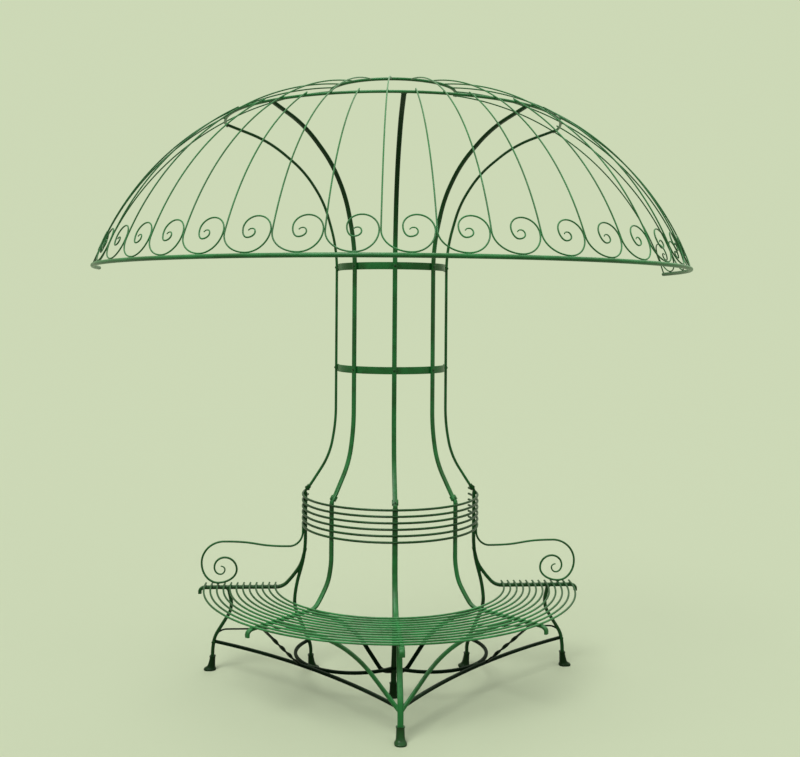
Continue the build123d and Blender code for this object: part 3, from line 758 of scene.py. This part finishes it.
def weld_tree():
    """Pairs of weld beads in rows round the axis."""
    tree, given = start_tree(
        "weld_beads", Bead="Vector", Spread_Out="Float", Spread_Up="Float", Rows="Int",
        Radius="Float", Radius_Step="Float", Height="Float", Height_Step="Float", **BEAD, **ROUND
    )
    index = place(tree, "GeometryNodeInputIndex")[0]
    pair = calc(tree, "FLOOR", calc(tree, "DIVIDE", index, 2))
    side = calc(tree, "MULTIPLY_ADD", calc(tree, "MODULO", index, 2), 2, -1)
    column = calc(tree, "FLOORED_MODULO", pair, given["Count"])
    row = calc(tree, "FLOOR", calc(tree, "DIVIDE", pair, given["Count"]))
    radius = calc(tree, "MULTIPLY_ADD", row, given["Radius Step"], given["Radius"])
    radius = calc(tree, "MULTIPLY_ADD", side, given["Spread Out"], radius)
    height = calc(tree, "MULTIPLY_ADD", row, given["Height Step"], given["Height"])
    height = calc(tree, "MULTIPLY_ADD", side, given["Spread Up"], height)
    angle = frame_angle(tree, given, column)
    total = calc(tree, "MULTIPLY", calc(tree, "MULTIPLY", given["Rows"], given["Count"]), 2)
    spread = {"Count": total, "Position": place_round(tree, angle, radius, height)}
    points = place(tree, "GeometryNodePoints", spread)[0]
    return lay_beads(tree, given, points, angle, given["Bead"])


WELD_BEADS = weld_tree()

seat_welds = grow(
    "seat_welds", WELD_BEADS, SEAT_PAINT, Bead=SEAT_BEAD, Spread_Out=SEAT_BEAD_SPREAD,
    Rows=SLAT_COUNT, Radius=seat_radius, Radius_Step=-slat_pitch,
    Height=slat_height - SLAT_DIAMETER / 2 + SEAT_BEAD_LIFT, **HAND_WELDED, **FIVE_FRAMES,
)
fit(seat_welds)

# Arms. A rod is welded down the face of each end post, leaves it in a dip, runs forward and rolls
# into a scroll that stands on the third slat from the front.
ARM_DIAMETER = 0.011
ARM_SLAT = 2
ARM_ROOT_RADIUS = POST_RADIUS + (BAR_THICKNESS + ARM_DIAMETER) / 2
arm_base = Vector(
    (seat_radius - ARM_SLAT * slat_pitch, slat_height + (SLAT_DIAMETER + ARM_DIAMETER) / 2)
)
ARM_RUN = [
    ((ARM_ROOT_RADIUS, 0.772), (0, -1)),
    ((ARM_ROOT_RADIUS, 0.735), (0, -1)),
    ((0.543, 0.659), (1, 0)),
    ((0.892, 0.686), (1, 0)),
]
ARM_SCROLL = [
    ((0.088, 0.107), (0, -1)),
    ((0.0, 0.0), (-1, 0)),
    ((-0.099, 0.070), (0, 1)),
    ((-0.035, 0.135), (1, 0)),
    ((0.020, 0.083), (0, -1)),
    ((-0.012, 0.045), (-1, 0)),
    ((-0.036, 0.070), (0, 1)),
    ((-0.014, 0.088), (1, 0)),
]
QUARTER_ARC_REACH = 0.5523


def flowing_mesh(stations, steps):
    """A smooth line of edges through points, each with its direction, all in one plane."""
    curve = bpy.data.curves.new("flowing", "CURVE")
    curve.dimensions = "3D"
    curve.resolution_u = steps
    spline = curve.splines.new("BEZIER")
    spline.bezier_points.add(len(stations) - 1)
    knots = list(zip(spline.bezier_points, stations))
    for knot, station in knots:
        knot.handle_left_type = knot.handle_right_type = "FREE"
        knot.co = knot.handle_left = knot.handle_right = station[0]
    for (before, (start, leaving)), (after, (end, arriving)) in zip(knots, knots[1:]):
        span = end - start
        before.handle_right = start + leaving * abs(span.dot(leaving)) * QUARTER_ARC_REACH
        after.handle_left = end - arriving * abs(span.dot(arriving)) * QUARTER_ARC_REACH
    line = bpy.data.objects.new("flowing", curve)
    mesh = bpy.data.meshes.new_from_object(line)
    bpy.data.objects.remove(line)
    bpy.data.curves.remove(curve)
    return mesh


DRAWN_OUT = {"End_Share": "Float", "End_Size": "Float"}


def drawn_out_rods(tree, given, path):
    """The end of a tree with rods drawn thinner over the last share of a path, set round the axis."""
    left = calc(tree, "SUBTRACT", 1, place(tree, "GeometryNodeSplineParameter")["Factor"])
    limits = {0: left, 1: 0.0, 2: given["End Share"], 3: given["End Size"], 4: 1.0}
    bar = sweep(tree, given, path, Scale=place(tree, "ShaderNodeMapRange", limits)[0])
    return close_tree(tree, given, set_round(tree, given, bar))


def flowing_rod_tree():
    """Round rods along a smooth line."""
    tree, given = start_tree("flowing_rod", **SECTION, **DRAWN_OUT, **ROUND)
    path = place(tree, "GeometryNodeMeshToCurve", {"Mesh": given["Geometry"]})[0]
    return drawn_out_rods(tree, given, path)


arm_stations = [(profile(*point), profile(*way)) for point, way in ARM_RUN] + [
    (profile(arm_base.x + out, arm_base.y + up), profile(*way)) for (out, up), way in ARM_SCROLL
]
# The arms, column posts and bands take painted shade towards the ends, and high up under the canopy.
UPPER_PAINT = painted_iron("upper_paint", GARDEN_GREEN, fade_and_top_light=0.5, painted_shade=0.3, canopy_shade=0.8)
arms = grow(
    "arms", flowing_rod_tree(), UPPER_PAINT, flowing_mesh(arm_stations, steps=20),
    End_Share=0.14, End_Size=0.62, **rod(ARM_DIAMETER), **BOTH_ENDS,
)
fit(arms, "arm_left", "arm_right")

# Back rails. Six rods bent round the outside of the posts make the back. They run on past the
# end posts and are welded to each post above and below.
RAIL_COUNT = 6
RAIL_DIAMETER = 0.012
RAIL_OVERHANG = 0.150
RAIL_BEAD = (0.0085, 0.0028, 0.0030)
RAIL_BEAD_SPREAD = 0.0062
RAIL_BEAD_SINK = 0.0006
rail_radius, top_rail_height = ring_line("back_rail_1", RAIL_DIAMETER)
rail_pitch = top_rail_height - ring_line("back_rail_2", RAIL_DIAMETER)[1]
# The rails are a darker green and take painted shade towards the ends.
RAIL_PAINT = painted_iron("rail_paint", DARKER_GREEN, fade_and_top_light=0.45, painted_shade=0.5, gloss=0.25)

back_rails = grow(
    "back_rails", RING_BAR, RAIL_PAINT, **rod(RAIL_DIAMETER), Rings=RAIL_COUNT, Radius=rail_radius,
    Height=top_rail_height, Height_Step=-rail_pitch, Overhang=RAIL_OVERHANG, Stations=121, **HALF_ROUND,
)
fit(back_rails, *[f"back_rail_{index + 1}" for index in range(RAIL_COUNT)])

rail_welds = grow(
    "rail_welds", WELD_BEADS, RAIL_PAINT, Bead=RAIL_BEAD, Spread_Up=RAIL_BEAD_SPREAD, Rows=RAIL_COUNT,
    Radius=rail_radius - RAIL_DIAMETER / 2 + RAIL_BEAD_SINK, Height=top_rail_height,
    Height_Step=-rail_pitch, **HAND_WELDED, **FIVE_FRAMES,
)
fit(rail_welds)

# Column posts. Five more of the bars start in the sleeves, lean in to a narrow column, run
# straight up and then spread outwards, their ends fitted round the hoop of the canopy.
HOOP_DIAMETER = 0.014
hoop_radius, hoop_height = ring_line("canopy_hoop", HOOP_DIAMETER)
COLUMN_RADIUS = 0.297
COLUMN_FOOT = 1.330
COLUMN_TOP = 2.263
LEAN_IN_SHARE = 0.78
LEAN_UP_SHARE = 0.49
POST_TIP_SHORT = 0.004
POST_FLARE = [(0.12, 0.38), (0.30, 0.63), (0.62, 0.87), (1, 1)]
flare_out = hoop_radius - POST_TIP_SHORT - COLUMN_RADIUS
flare_up = hoop_height - COLUMN_TOP
lean_point = (
    LEAN_IN_SHARE * COLUMN_RADIUS + (1 - LEAN_IN_SHARE) * SLEEVE_POINT[0],
    LEAN_UP_SHARE * COLUMN_FOOT + (1 - LEAN_UP_SHARE) * SLEEVE_POINT[1],
)
COLUMN_ROUTE = [
    SLEEVE_POINT,
    (2 * SLEEVE_POINT[0] - POST_RADIUS, 2 * SLEEVE_POINT[1] - POST_BEND_HEIGHT),
    lean_point,
    (COLUMN_RADIUS, COLUMN_FOOT),
    (COLUMN_RADIUS, COLUMN_TOP),
] + [(COLUMN_RADIUS + out * flare_out, COLUMN_TOP + up * flare_up) for out, up in POST_FLARE]
COLUMN_NAMES = ("left_end", "left", "centre", "right", "right_end")

column_posts = grow(
    "column_posts", FORGED_BAR, UPPER_PAINT, profile_route(COLUMN_ROUTE), **FLAT_BAR, **FIVE_FRAMES
)
fit(column_posts, *[f"column_post_{name}" for name in COLUMN_NAMES])

# Sleeves and bolts. A box of folded plate takes the end of each back post and the foot of the
# column post above. A bolt with a low head and nut goes through its lower half.
SLEEVE = {"Width": 0.032, "Thickness": 0.022, "Edge_Radius": 0.0045}
SLEEVE_HALF = 0.012
BOLT_DROP = 0.006
BOLT_RADIUS = 0.003
BOLT_TAIL = 0.001
BOLT_TAPER = 0.8
HEAD_ACROSS = 0.010
HEAD_HEIGHT = 0.003
HEAD_FILL = 0.9
HEAD_CHAMFER = 0.0006
along_post = profile(-sin(POST_LEAN), cos(POST_LEAN))
across_post = profile(cos(POST_LEAN), sin(POST_LEAN))
sleeve_centre = profile(*SLEEVE_POINT)
sleeve_ends = [sleeve_centre - along_post * SLEEVE_HALF, sleeve_centre + along_post * SLEEVE_HALF]

post_sleeves = grow(
    "sleeves", FORGED_BAR, FRAME_PAINT, route_mesh(sleeve_ends), **SLEEVE, **FIVE_FRAMES
)
fit(post_sleeves, "post_sleeves")


def bolt_mesh():
    """A bolt along Z with a chamfered six-sided head above, and a nut and a tail below."""
    bolt = bmesh.new()
    reach = SLEEVE["Thickness"] / 2
    corner = HEAD_ACROSS / 2 / cos(pi / 6)
    bmesh.ops.create_cone(
        bolt, cap_ends=True, segments=20, radius1=BOLT_RADIUS * BOLT_TAPER, radius2=BOLT_RADIUS,
        depth=2 * reach + HEAD_HEIGHT + BOLT_TAIL,
        matrix=Matrix.Translation((0, 0, -(HEAD_HEIGHT + BOLT_TAIL) / 2)),
    )
    height = HEAD_HEIGHT * HEAD_FILL
    for side in (-1, 1):
        head = bmesh.ops.create_cone(
            bolt, cap_ends=True, segments=6, radius1=corner, radius2=corner, depth=height,
            matrix=Matrix.Translation((0, 0, side * (reach + height / 2))),
        )["verts"]
        edges = list(dict.fromkeys(edge for vert in head for edge in vert.link_edges))
        bmesh.ops.bevel(
            bolt, geom=edges, offset=HEAD_CHAMFER, segments=2, affect="EDGES", profile=0.6
        )
    return face_mesh("bolt", bolt)


bolts_mesh = bolt_mesh()
bolt_turn = across_post.to_track_quat("Z", "X").to_matrix().to_4x4()
bolts_mesh.transform(Matrix.Translation(sleeve_centre - along_post * BOLT_DROP) @ bolt_turn)
fit(grow("bolts", SET_ROUND, FOOT_PAINT, bolts_mesh, **FIVE_FRAMES), "sleeve_bolts")

# Column bands. Two flat hoops inside the posts hold them at their distance, one half way up the
# column and one near its top.
BAND = {"Width": 0.005, "Thickness": 0.038, "Edge_Radius": 0.0015}
BAND_OVERHANG = 0.020
band_radius, lower_band_height = ring_line("column_band_lower", BAND["Width"])
band_distance = ring_line("column_band_upper", BAND["Width"])[1] - lower_band_height

bands = grow(
    "column_bands", RING_BAR, UPPER_PAINT, **BAND, Rings=2, Radius=band_radius,
    Height=lower_band_height, Height_Step=band_distance, Overhang=BAND_OVERHANG, Stations=97,
    **HALF_ROUND,
)
fit(bands, "column_band_lower", "column_band_upper")

# Band rivets. One rivet at each crossing holds post and band, with a domed head on the face of the
# post and a tail hammered round inside the band.
RIVET_HEAD = (0.0070, 0.0040, 0.0070)
post_face = COLUMN_RADIUS + BAR_THICKNESS / 2
band_back = band_radius - BAND["Width"] / 2

rivets = grow(
    "band_rivets", WELD_BEADS, FOOT_PAINT, Bead=RIVET_HEAD, Spread_Out=(post_face - band_back) / 2,
    Rows=2, Radius=(post_face + band_back) / 2, Height=lower_band_height, Height_Step=band_distance,
    Unevenness=0.08, Roundness=3, **FIVE_FRAMES,
)
fit(rivets)

# Canopy rings. A stout rim below, a hoop on the tips of the posts and a crown ring at the top,
# all of round rod, carry the ribs. The rim runs on a little past the right end frame.
RIM_DIAMETER = 0.020
RIM_ANGLES = {"First_Angle": radians(-88.5), "Last_Angle": radians(95.5)}
HOOP_OVERHANG = 0.040
CROWN_DIAMETER = 0.016
CROWN_OVERHANG = 0.024
rim_radius, rim_height = ring_line("canopy_rim", RIM_DIAMETER)
crown_radius, crown_height = ring_line("crown_ring", CROWN_DIAMETER)
CANOPY_GREEN = GARDEN_GREEN | {"Paint": (0.028, 0.265, 0.066, 1), "Shade": (0.015, 0.160, 0.032, 1)}
# The canopy takes painted shade towards its ends.
CANOPY_PAINT = painted_iron(
    "canopy_paint", CANOPY_GREEN, fade_and_top_light=0.7, painted_shade=0.35, chips=0.4, mottle_scale=6, gloss_loss=0.32,
    relief=0.25,
)


def canopy_ring(name, diameter, radius, height, **bend):
    """One ring of round rod, by its centre line and how it is bent."""
    return grow(
        name, RING_BAR, CANOPY_PAINT, **rod(diameter), Rings=1, Radius=radius, Height=height, **bend
    )


canopy_rim = canopy_ring("rim", RIM_DIAMETER, rim_radius, rim_height, Stations=221, **RIM_ANGLES)
fit(canopy_rim, "canopy_rim")

canopy_hoop = canopy_ring(
    "hoop", HOOP_DIAMETER, hoop_radius, hoop_height, Overhang=HOOP_OVERHANG, Stations=161, **HALF_ROUND
)
fit(canopy_hoop, "canopy_hoop")

crown_ring = canopy_ring(
    "crown", CROWN_DIAMETER, crown_radius, crown_height, Overhang=CROWN_OVERHANG, Stations=97,
    **HALF_ROUND,
)
fit(crown_ring, "crown_ring")

# Ribs. Thin rods follow the dome down from the crown, or from the hoop on every second one,
# turn along the rim and roll up into a scroll that touches the next rib.
RIB_DIAMETER = 0.007
RIB_COUNT = 22
HOOP_RIB_POINT = (0.901, 2.933)
SCROLL_WAIST = 0.095
SCROLL_LEFT_SHARE = 0.56
SHORT_RIB_PAST_HOOP = 0.016
TOUCH_GAP = 0.00005


def arc_through(first, second, third):
    """The centre and the radius of the arc through three points of the profile plane."""
    first, second, third = Vector(first), Vector(second), Vector(third)
    to_first, to_second = first - third, second - third
    double_area = 2 * to_first.cross(to_second)
    along = to_first.length_squared * to_second - to_second.length_squared * to_first
    centre = third + Vector((along.y, -along.x)) / double_area
    return centre, (first - centre).length


dome_centre, dome_radius = arc_through(
    (rim_radius, rim_height), HOOP_RIB_POINT, (crown_radius, crown_height)
)


def meridian(radius, height):
    """Where a point lies on the meridian arc of the dome."""
    return atan2(height - dome_centre.y, radius - dome_centre.x)


def dome_rib_tree():
    """Ribs laid out flat, bent on to the dome and set round the axis."""
    tree, given = start_tree(
        "dome_rib", Dome_Out="Float", Dome_Up="Float", Dome_Radius="Float", Foot_Meridian="Float",
        Foot_Radius="Float", **SECTION, **DRAWN_OUT, **ROUND
    )
    path = place(tree, "GeometryNodeMeshToCurve", {"Mesh": given["Geometry"]})[0]
    divided = {"Curve": path, "Length": 0.006}
    path = place(tree, "GeometryNodeResampleCurve", divided, mode="LENGTH")[0]
    flat = point_parts(tree)
    reach = given["Dome Radius"]
    angle = calc(tree, "DIVIDE", flat[0], given["Foot Radius"])
    rise = calc(tree, "ADD", calc(tree, "DIVIDE", flat[1], reach), given["Foot Meridian"])
    radius = calc(tree, "MULTIPLY_ADD", calc(tree, "COSINE", rise), reach, given["Dome Out"])
    height = calc(tree, "MULTIPLY_ADD", calc(tree, "SINE", rise), reach, given["Dome Up"])
    bent = {"Geometry": path, "Position": place_round(tree, angle, radius, height)}
    path = place(tree, "GeometryNodeSetPosition", bent)[0]
    return drawn_out_rods(tree, given, path)


DOME_RIB = dome_rib_tree()
foot_meridian = meridian(rim_radius, rim_height)
foot_meridian += ((RIB_DIAMETER + RIM_DIAMETER) / 2 + TOUCH_GAP) / dome_radius
foot_radius = dome_centre.x + dome_radius * cos(foot_meridian)
waist_radius = dome_centre.x + dome_radius * cos(foot_meridian + SCROLL_WAIST / dome_radius)
rib_edge = RIB_DIAMETER / rim_radius
first_rib = RIM_ANGLES["First_Angle"] + rib_edge
last_rib = RIM_ANGLES["Last_Angle"] - rib_edge
rib_pitch = (last_rib - first_rib) / RIB_COUNT
scroll_room = rib_pitch * foot_radius - (RIB_DIAMETER + TOUCH_GAP) * foot_radius / waist_radius
scroll_left = SCROLL_LEFT_SHARE * scroll_room
scroll_right = scroll_room - scroll_left
SCROLL_TURNS = [
    ((-scroll_left, SCROLL_WAIST), (0, -1)),
    ((0.0, 0.0), (1, 0)),
    ((scroll_right, SCROLL_WAIST), (0, 1)),
    ((0.024, 0.164), (-1, 0)),
    ((-0.035, 0.112), (0, -1)),
    ((-0.006, 0.066), (1, 0)),
    ((0.026, 0.088), (0, 1)),
    ((0.011, 0.106), (-1, 0)),
    ((-0.008, 0.097), (-0.6, -0.8)),
]
DOME = {
    "Dome_Out": dome_centre.x, "Dome_Up": dome_centre.y, "Dome_Radius": dome_radius,
    "Foot_Meridian": foot_meridian, "Foot_Radius": foot_radius,
}


def flat_station(run, rise, way=(0, -1)):
    """A point and a direction on the dome laid out flat, straight down if no way is given."""
    return Vector((run, rise, 0)), Vector((*way, 0))


def flat_rise(place_on_meridian):
    """How far a place on the meridian lies above the foot of the ribs, along the dome."""
    return (place_on_meridian - foot_meridian) * dome_radius


def ribs(name, stations, **sizes):
    """Ribs along one flat line, bent on to the dome."""
    return grow(
        name, DOME_RIB, CANOPY_PAINT, flowing_mesh(stations, steps=16), **rod(RIB_DIAMETER), **DOME,
        **sizes,
    )


def scrolled_ribs(name, top_meridian, first_angle):
    """Every second rib, from a place on the meridian down to its scroll."""
    stations = [flat_station(0, flat_rise(top_meridian))]
    stations += [flat_station(run + scroll_left, rise, way) for (run, rise), way in SCROLL_TURNS]
    return ribs(
        name, stations, End_Share=0.03, End_Size=0.7, Count=RIB_COUNT // 2, First_Angle=first_angle,
        Angle_Step=2 * rib_pitch,
    )


crown_meridian = meridian(crown_radius, crown_height)
long_ribs = scrolled_ribs("ribs_to_crown", crown_meridian, first_rib)
fit(long_ribs, "long_ribs")

short_top = meridian(*HOOP_RIB_POINT) + SHORT_RIB_PAST_HOOP / dome_radius
short_ribs = scrolled_ribs("ribs_to_hoop", short_top, first_rib + rib_pitch)
fit(short_ribs, "short_ribs")

# End rib. At the right end a plain rib closes the canopy, from the crown to the rim. It is the same
# thin rod but has no scroll, and is welded to the rings like the others.
rim_meridian = meridian(rim_radius, rim_height)
end_line = [flat_station(0, flat_rise(crown_meridian)), flat_station(0, flat_rise(rim_meridian))]
end_rib = ribs("plain_end_rib", end_line, End_Share=0.01, End_Size=1.0, Count=1, First_Angle=last_rib)
fit(end_rib, "end_rib")

# Canopy welds. Small beads hold each rib to the hoop, the crown and the rim, one above and one below
# the ring. They are painted with the canopy.
RIB_BEAD = (0.0052, 0.0058, 0.0034)
RIB_BEAD_SPREAD = 0.003
HOOP_WELD_OFFSET = (0.0035, 0.006)
CROWN_WELD_OFFSET = (0.008, -0.001)
RIM_WELD_OFFSET = (-0.004, 0.0095)


def rib_welds(name, radius, height, offset, **turns):
    """A pair of beads at each rib on one ring."""
    return grow(
        name, WELD_BEADS, CANOPY_PAINT, Bead=RIB_BEAD, Spread_Out=RIB_BEAD_SPREAD,
        Spread_Up=-RIB_BEAD_SPREAD, Rows=1, Radius=radius + offset[0], Height=height + offset[1],
        **HAND_WELDED, **turns,
    )


hoop_welds = rib_welds(
    "hoop_welds", hoop_radius, hoop_height, HOOP_WELD_OFFSET, Count=RIB_COUNT + 1,
    First_Angle=first_rib, Angle_Step=rib_pitch,
)
fit(hoop_welds)

crown_welds = rib_welds(
    "crown_welds", crown_radius, crown_height, CROWN_WELD_OFFSET, Count=RIB_COUNT // 2 + 1,
    First_Angle=first_rib, Angle_Step=2 * rib_pitch,
)
fit(crown_welds)

rim_welds = rib_welds(
    "rim_welds", rim_radius, rim_height, RIM_WELD_OFFSET, Count=RIB_COUNT,
    First_Angle=first_rib + scroll_left / foot_radius, Angle_Step=rib_pitch,
)
fit(rim_welds)

# Joint welds. Every bar that meets another is run round with weld, ground down a little and painted
# over: legs, bearers, stretchers, braces, struts, ties, arms and the tips of the column posts.
BAR_SIDE = BAR_WIDTH / 2 + 0.0003
LEG_SIDE = LEG_BAR["Width"] / 2 + 0.0003
LEG_HALF = LEG_BAR["Thickness"] / 2 + 0.0004
STRETCHER_HALF = STRETCHER["Thickness"] / 2
LEG_BEARER_UNDERSIDE = BEARER_LEVEL - LEG_BAR["Thickness"] - 0.001
BEARER_UNDERSIDE = BEARER_LEVEL - BAR_THICKNESS - 0.001
FRONT_SIDES = [(-END_ANGLE, LEG_SIDE), (0, -LEG_SIDE), (0, LEG_SIDE), (END_ANGLE, -LEG_SIDE)]
MIDDLE_SIDES = [(-MIDDLE_ANGLE, BAR_SIDE), (MIDDLE_ANGLE, -BAR_SIDE)]
STRETCHER_WELD_HEIGHT = STRETCHER_HEIGHT - 0.003
HEEL_WELD = (0.4955, LEG_BEARER_HEIGHT + 0.081)
STRUT_HEAD_WELD_RADIUS = 0.929
STRUT_FOOT_WELD_RADIUS = STRUT_FOOT_RADIUS + 0.007
TIE_WELD_HEIGHT = TIE_LOW + 0.003
ARM_WELD = (ARM_ROOT_RADIUS - 0.0045, 0.752)
ARM_WELD_SIDE = 0.0042
TIP_WELD = (hoop_radius - 0.005, hoop_height - 0.002)
JOINT_BEADS = {
    "stretcher": (0.0035, 0.0105, 0.0105), "heel": (0.0120, 0.0034, 0.0070),
    "bearer_root": (0.0118, 0.0022, 0.0042), "leg_face": (0.0120, 0.0036, 0.0036),
    "leg_side": (0.0028, 0.0080, 0.0036), "brace": (0.0034, 0.0105, 0.0085),
    "strut_head": (0.0108, 0.0058, 0.0032), "strut_foot": (0.0100, 0.0056, 0.0028),
    "touch": (0.0240, 0.0036, 0.0026), "tie": (0.0064, 0.0034, 0.0066),
    "arm_scroll": (0.0085, 0.0085, 0.0026), "arm_root": (0.0027, 0.0027, 0.0170),
    "post_tip": (0.0032, 0.0075, 0.0070),
}
weld_points, weld_turns, weld_sizes = [], [], []


def weld_at(bead, angle, across, radius, height):
    """Notes a bead beside a frame, by its place across, out and up."""
    sideways = Vector((cos(angle), sin(angle), 0)) * across
    weld_points.append(around(angle, radius, height) + sideways)
    weld_turns.append(angle)
    weld_sizes.extend(JOINT_BEADS[bead])


for angle, side in FRONT_SIDES:
    for reach in (FRONT_REACH, REAR_REACH):
        weld_at("stretcher", angle, side, reach, STRETCHER_WELD_HEIGHT)
for angle in (-END_ANGLE, 0, END_ANGLE):
    weld_at("heel", angle, 0, *HEEL_WELD)
    weld_at("bearer_root", angle, 0, LEG_POST_RADIUS + LEG_HALF, BEARER_ROOT_HEIGHT)
    for out in (-LEG_HALF, LEG_HALF):
        weld_at("leg_face", angle, 0, LEG_TOP[0] + out, LEG_BEARER_UNDERSIDE)
    for across in (-LEG_SIDE, LEG_SIDE):
        weld_at("leg_side", angle, across, LEG_TOP[0], LEG_BEARER_UNDERSIDE)
for angle, side in MIDDLE_SIDES:
    for reach in (FRONT_BRACE_ENDS[1], REAR_BRACE_ENDS[1]):
        weld_at("brace", angle, side, reach, BRACE_END_HEIGHT)
    weld_at("strut_head", angle, 0, STRUT_HEAD_WELD_RADIUS, BEARER_UNDERSIDE)
for angle in (-STRUT_FOOT_ANGLE, STRUT_FOOT_ANGLE):
    weld_at("strut_foot", angle, 0, STRUT_FOOT_WELD_RADIUS, STRETCHER_HEIGHT + STRETCHER_HALF)
for angle in (-END_ANGLE / 2, END_ANGLE / 2):
    for up in (-STRETCHER_HALF, STRETCHER_HALF):
        weld_at("touch", angle, 0, TOUCH_RADIUS, STRETCHER_HEIGHT + up)
for angle in (-END_ANGLE, END_ANGLE):
    weld_at("tie", angle, 0, tie_rear + LEG_HALF, TIE_WELD_HEIGHT)
    weld_at("tie", angle, 0, tie_front - LEG_HALF, TIE_WELD_HEIGHT)
    weld_at("arm_scroll", angle, 0, arm_base.x, arm_base.y - ARM_DIAMETER / 2)
    for across in (-ARM_WELD_SIDE, ARM_WELD_SIDE):
        weld_at("arm_root", angle, across, *ARM_WELD)
for angle in (-END_ANGLE, -MIDDLE_ANGLE, 0, MIDDLE_ANGLE, END_ANGLE):
    for across in (-BAR_SIDE, BAR_SIDE):
        weld_at("post_tip", angle, across, *TIP_WELD)


def spot_weld_tree():
    """A bead on every point of a mesh, turned and sized by the point's own values."""
    tree, given = start_tree("spot_welds", **BEAD)
    turn = place(tree, "GeometryNodeInputNamedAttribute", {"Name": "turn"})[0]
    named = {"Name": "size"}
    size = place(tree, "GeometryNodeInputNamedAttribute", named, data_type="FLOAT_VECTOR")[0]
    return lay_beads(tree, given, given["Geometry"], turn, size)


spots = bpy.data.meshes.new("spots")
spots.from_pydata(weld_points, [], [])
spots.attributes.new("turn", "FLOAT", "POINT").data.foreach_set("value", weld_turns)
spots.attributes.new("size", "FLOAT_VECTOR", "POINT").data.foreach_set("vector", weld_sizes)
fit(grow("joint_welds", spot_weld_tree(), FRAME_PAINT, spots, Unevenness=0.15, Roundness=3))

# Studio. A wide pale floor runs into a backdrop of the same colour, under an even sky and broad soft
# lights from the front, the back and above, so that only the shadow shows where the floor is.
BACKDROP = (0.610, 0.690, 0.470, 1)
FLOOR_BOUNCE = (0.110, 0.130, 0.080, 1)
FLOOR_RADIUS = 60
FADE_FROM, FADE_TO = 4.0, 14.0
SKY_STRENGTH = 0.25


def seen_by_eye(tree):
    """One for rays that show the backdrop itself: straight, mirrored or through glass."""
    path = place(tree, "ShaderNodeLightPath")
    seen = calc(tree, "MAXIMUM", path["Is Camera Ray"], path["Is Glossy Ray"])
    return calc(tree, "MAXIMUM", seen, path["Is Transmission Ray"])


def mix_surfaces(tree, end, share, first, second):
    """Gives a material or the world a mix of two surfaces by a share."""
    mixed = place(tree, "ShaderNodeMixShader", {0: share, 1: first, 2: second})[0]
    tree.links.new(mixed, tree.nodes[end].inputs["Surface"])


floor_circle = bmesh.new()
bmesh.ops.create_circle(floor_circle, cap_ends=True, segments=96, radius=FLOOR_RADIUS)
floor = bpy.data.objects.new("floor", face_mesh("floor", floor_circle))
bpy.context.scene.collection.objects.link(floor)
floor_paint = bpy.data.materials.new("pale_floor")
floor_paint.use_nodes = True
tree = floor_paint.node_tree
surface = tree.nodes["Principled BSDF"]
shown = blend_colours(tree, seen_by_eye(tree), FLOOR_BOUNCE, BACKDROP)
tree.links.new(shown, surface.inputs["Base Color"])
surface.inputs["Roughness"].default_value = 0.9
surface.inputs["Specular IOR Level"].default_value = 0.1
from_middle = {0: place(tree, "ShaderNodeTexCoord")["Object"]}
away = place(tree, "ShaderNodeVectorMath", from_middle, operation="LENGTH")["Value"]
faded = calc(tree, "MULTIPLY", smooth_ramp(tree, away, FADE_FROM, FADE_TO), seen_by_eye(tree))
glow = place(tree, "ShaderNodeEmission", {"Color": BACKDROP, "Strength": 1.0})[0]
mix_surfaces(tree, "Material Output", faded, surface.outputs[0], glow)
floor.data.materials.append(floor_paint)

world = bpy.data.worlds.new("studio")
world.use_nodes = True
bpy.context.scene.world = world
tree = world.node_tree
sky = tree.nodes["Background"]
sky.inputs["Color"].default_value = (1, 1, 1, 1)
sky.inputs["Strength"].default_value = SKY_STRENGTH
shown = place(tree, "ShaderNodeBackground", {"Color": BACKDROP, "Strength": 1.0})[0]
mix_surfaces(tree, "World Output", seen_by_eye(tree), sky.outputs[0], shown)


def broad_light(name, strength, spread, height, azimuth):
    """An even light from a wide patch of the sky, by its height and its angle from the front."""
    light = bpy.data.lights.new(name, "SUN")
    light.energy = strength
    light.angle = spread
    lamp = bpy.data.objects.new(name, light)
    lamp.rotation_euler = (pi / 2 - height, 0, azimuth)
    bpy.context.scene.collection.objects.link(lamp)


broad_light("main_light", 1.55, radians(28), radians(58), radians(-32))
broad_light("side_light", 0.30, radians(45), radians(40), radians(55))
broad_light("back_light", 0.40, radians(60), radians(38), radians(160))
broad_light("overhead_light", 0.56, radians(100), radians(90), 0)

# Camera. It stands in front, a little to the left, level and at eye height, and leans by a fraction
# of a degree. The picture's centre is shifted a little, as the photograph's framing needs.
CAMERA_DISTANCE = 5.403
CAMERA_HEIGHT = 1.937
CAMERA_TURN = radians(3.21)
CAMERA_ROLL = 0.0071
FOCAL_PIXELS = 997
IMAGE_WIDTH = 800
IMAGE_HEIGHT = 757
VIEW_CENTRE = (391.5, 309.7)
SENSOR_WIDTH = 36
camera_data = bpy.data.cameras.new("camera")
camera_data.sensor_width = SENSOR_WIDTH
camera_data.lens = FOCAL_PIXELS / IMAGE_WIDTH * SENSOR_WIDTH
camera_data.shift_x = (IMAGE_WIDTH / 2 - VIEW_CENTRE[0]) / IMAGE_WIDTH
camera_data.shift_y = (VIEW_CENTRE[1] - IMAGE_HEIGHT / 2) / IMAGE_WIDTH
camera = bpy.data.objects.new("camera", camera_data)
camera.location = around(-CAMERA_TURN, CAMERA_DISTANCE, CAMERA_HEIGHT)
level_view = Euler((pi / 2, 0, -CAMERA_TURN)).to_matrix()
camera.rotation_euler = (level_view @ Matrix.Rotation(CAMERA_ROLL, 3, "Z")).to_euler()
bpy.context.scene.collection.objects.link(camera)
bpy.context.scene.camera = camera
bpy.context.scene.view_settings.view_transform = "Standard"
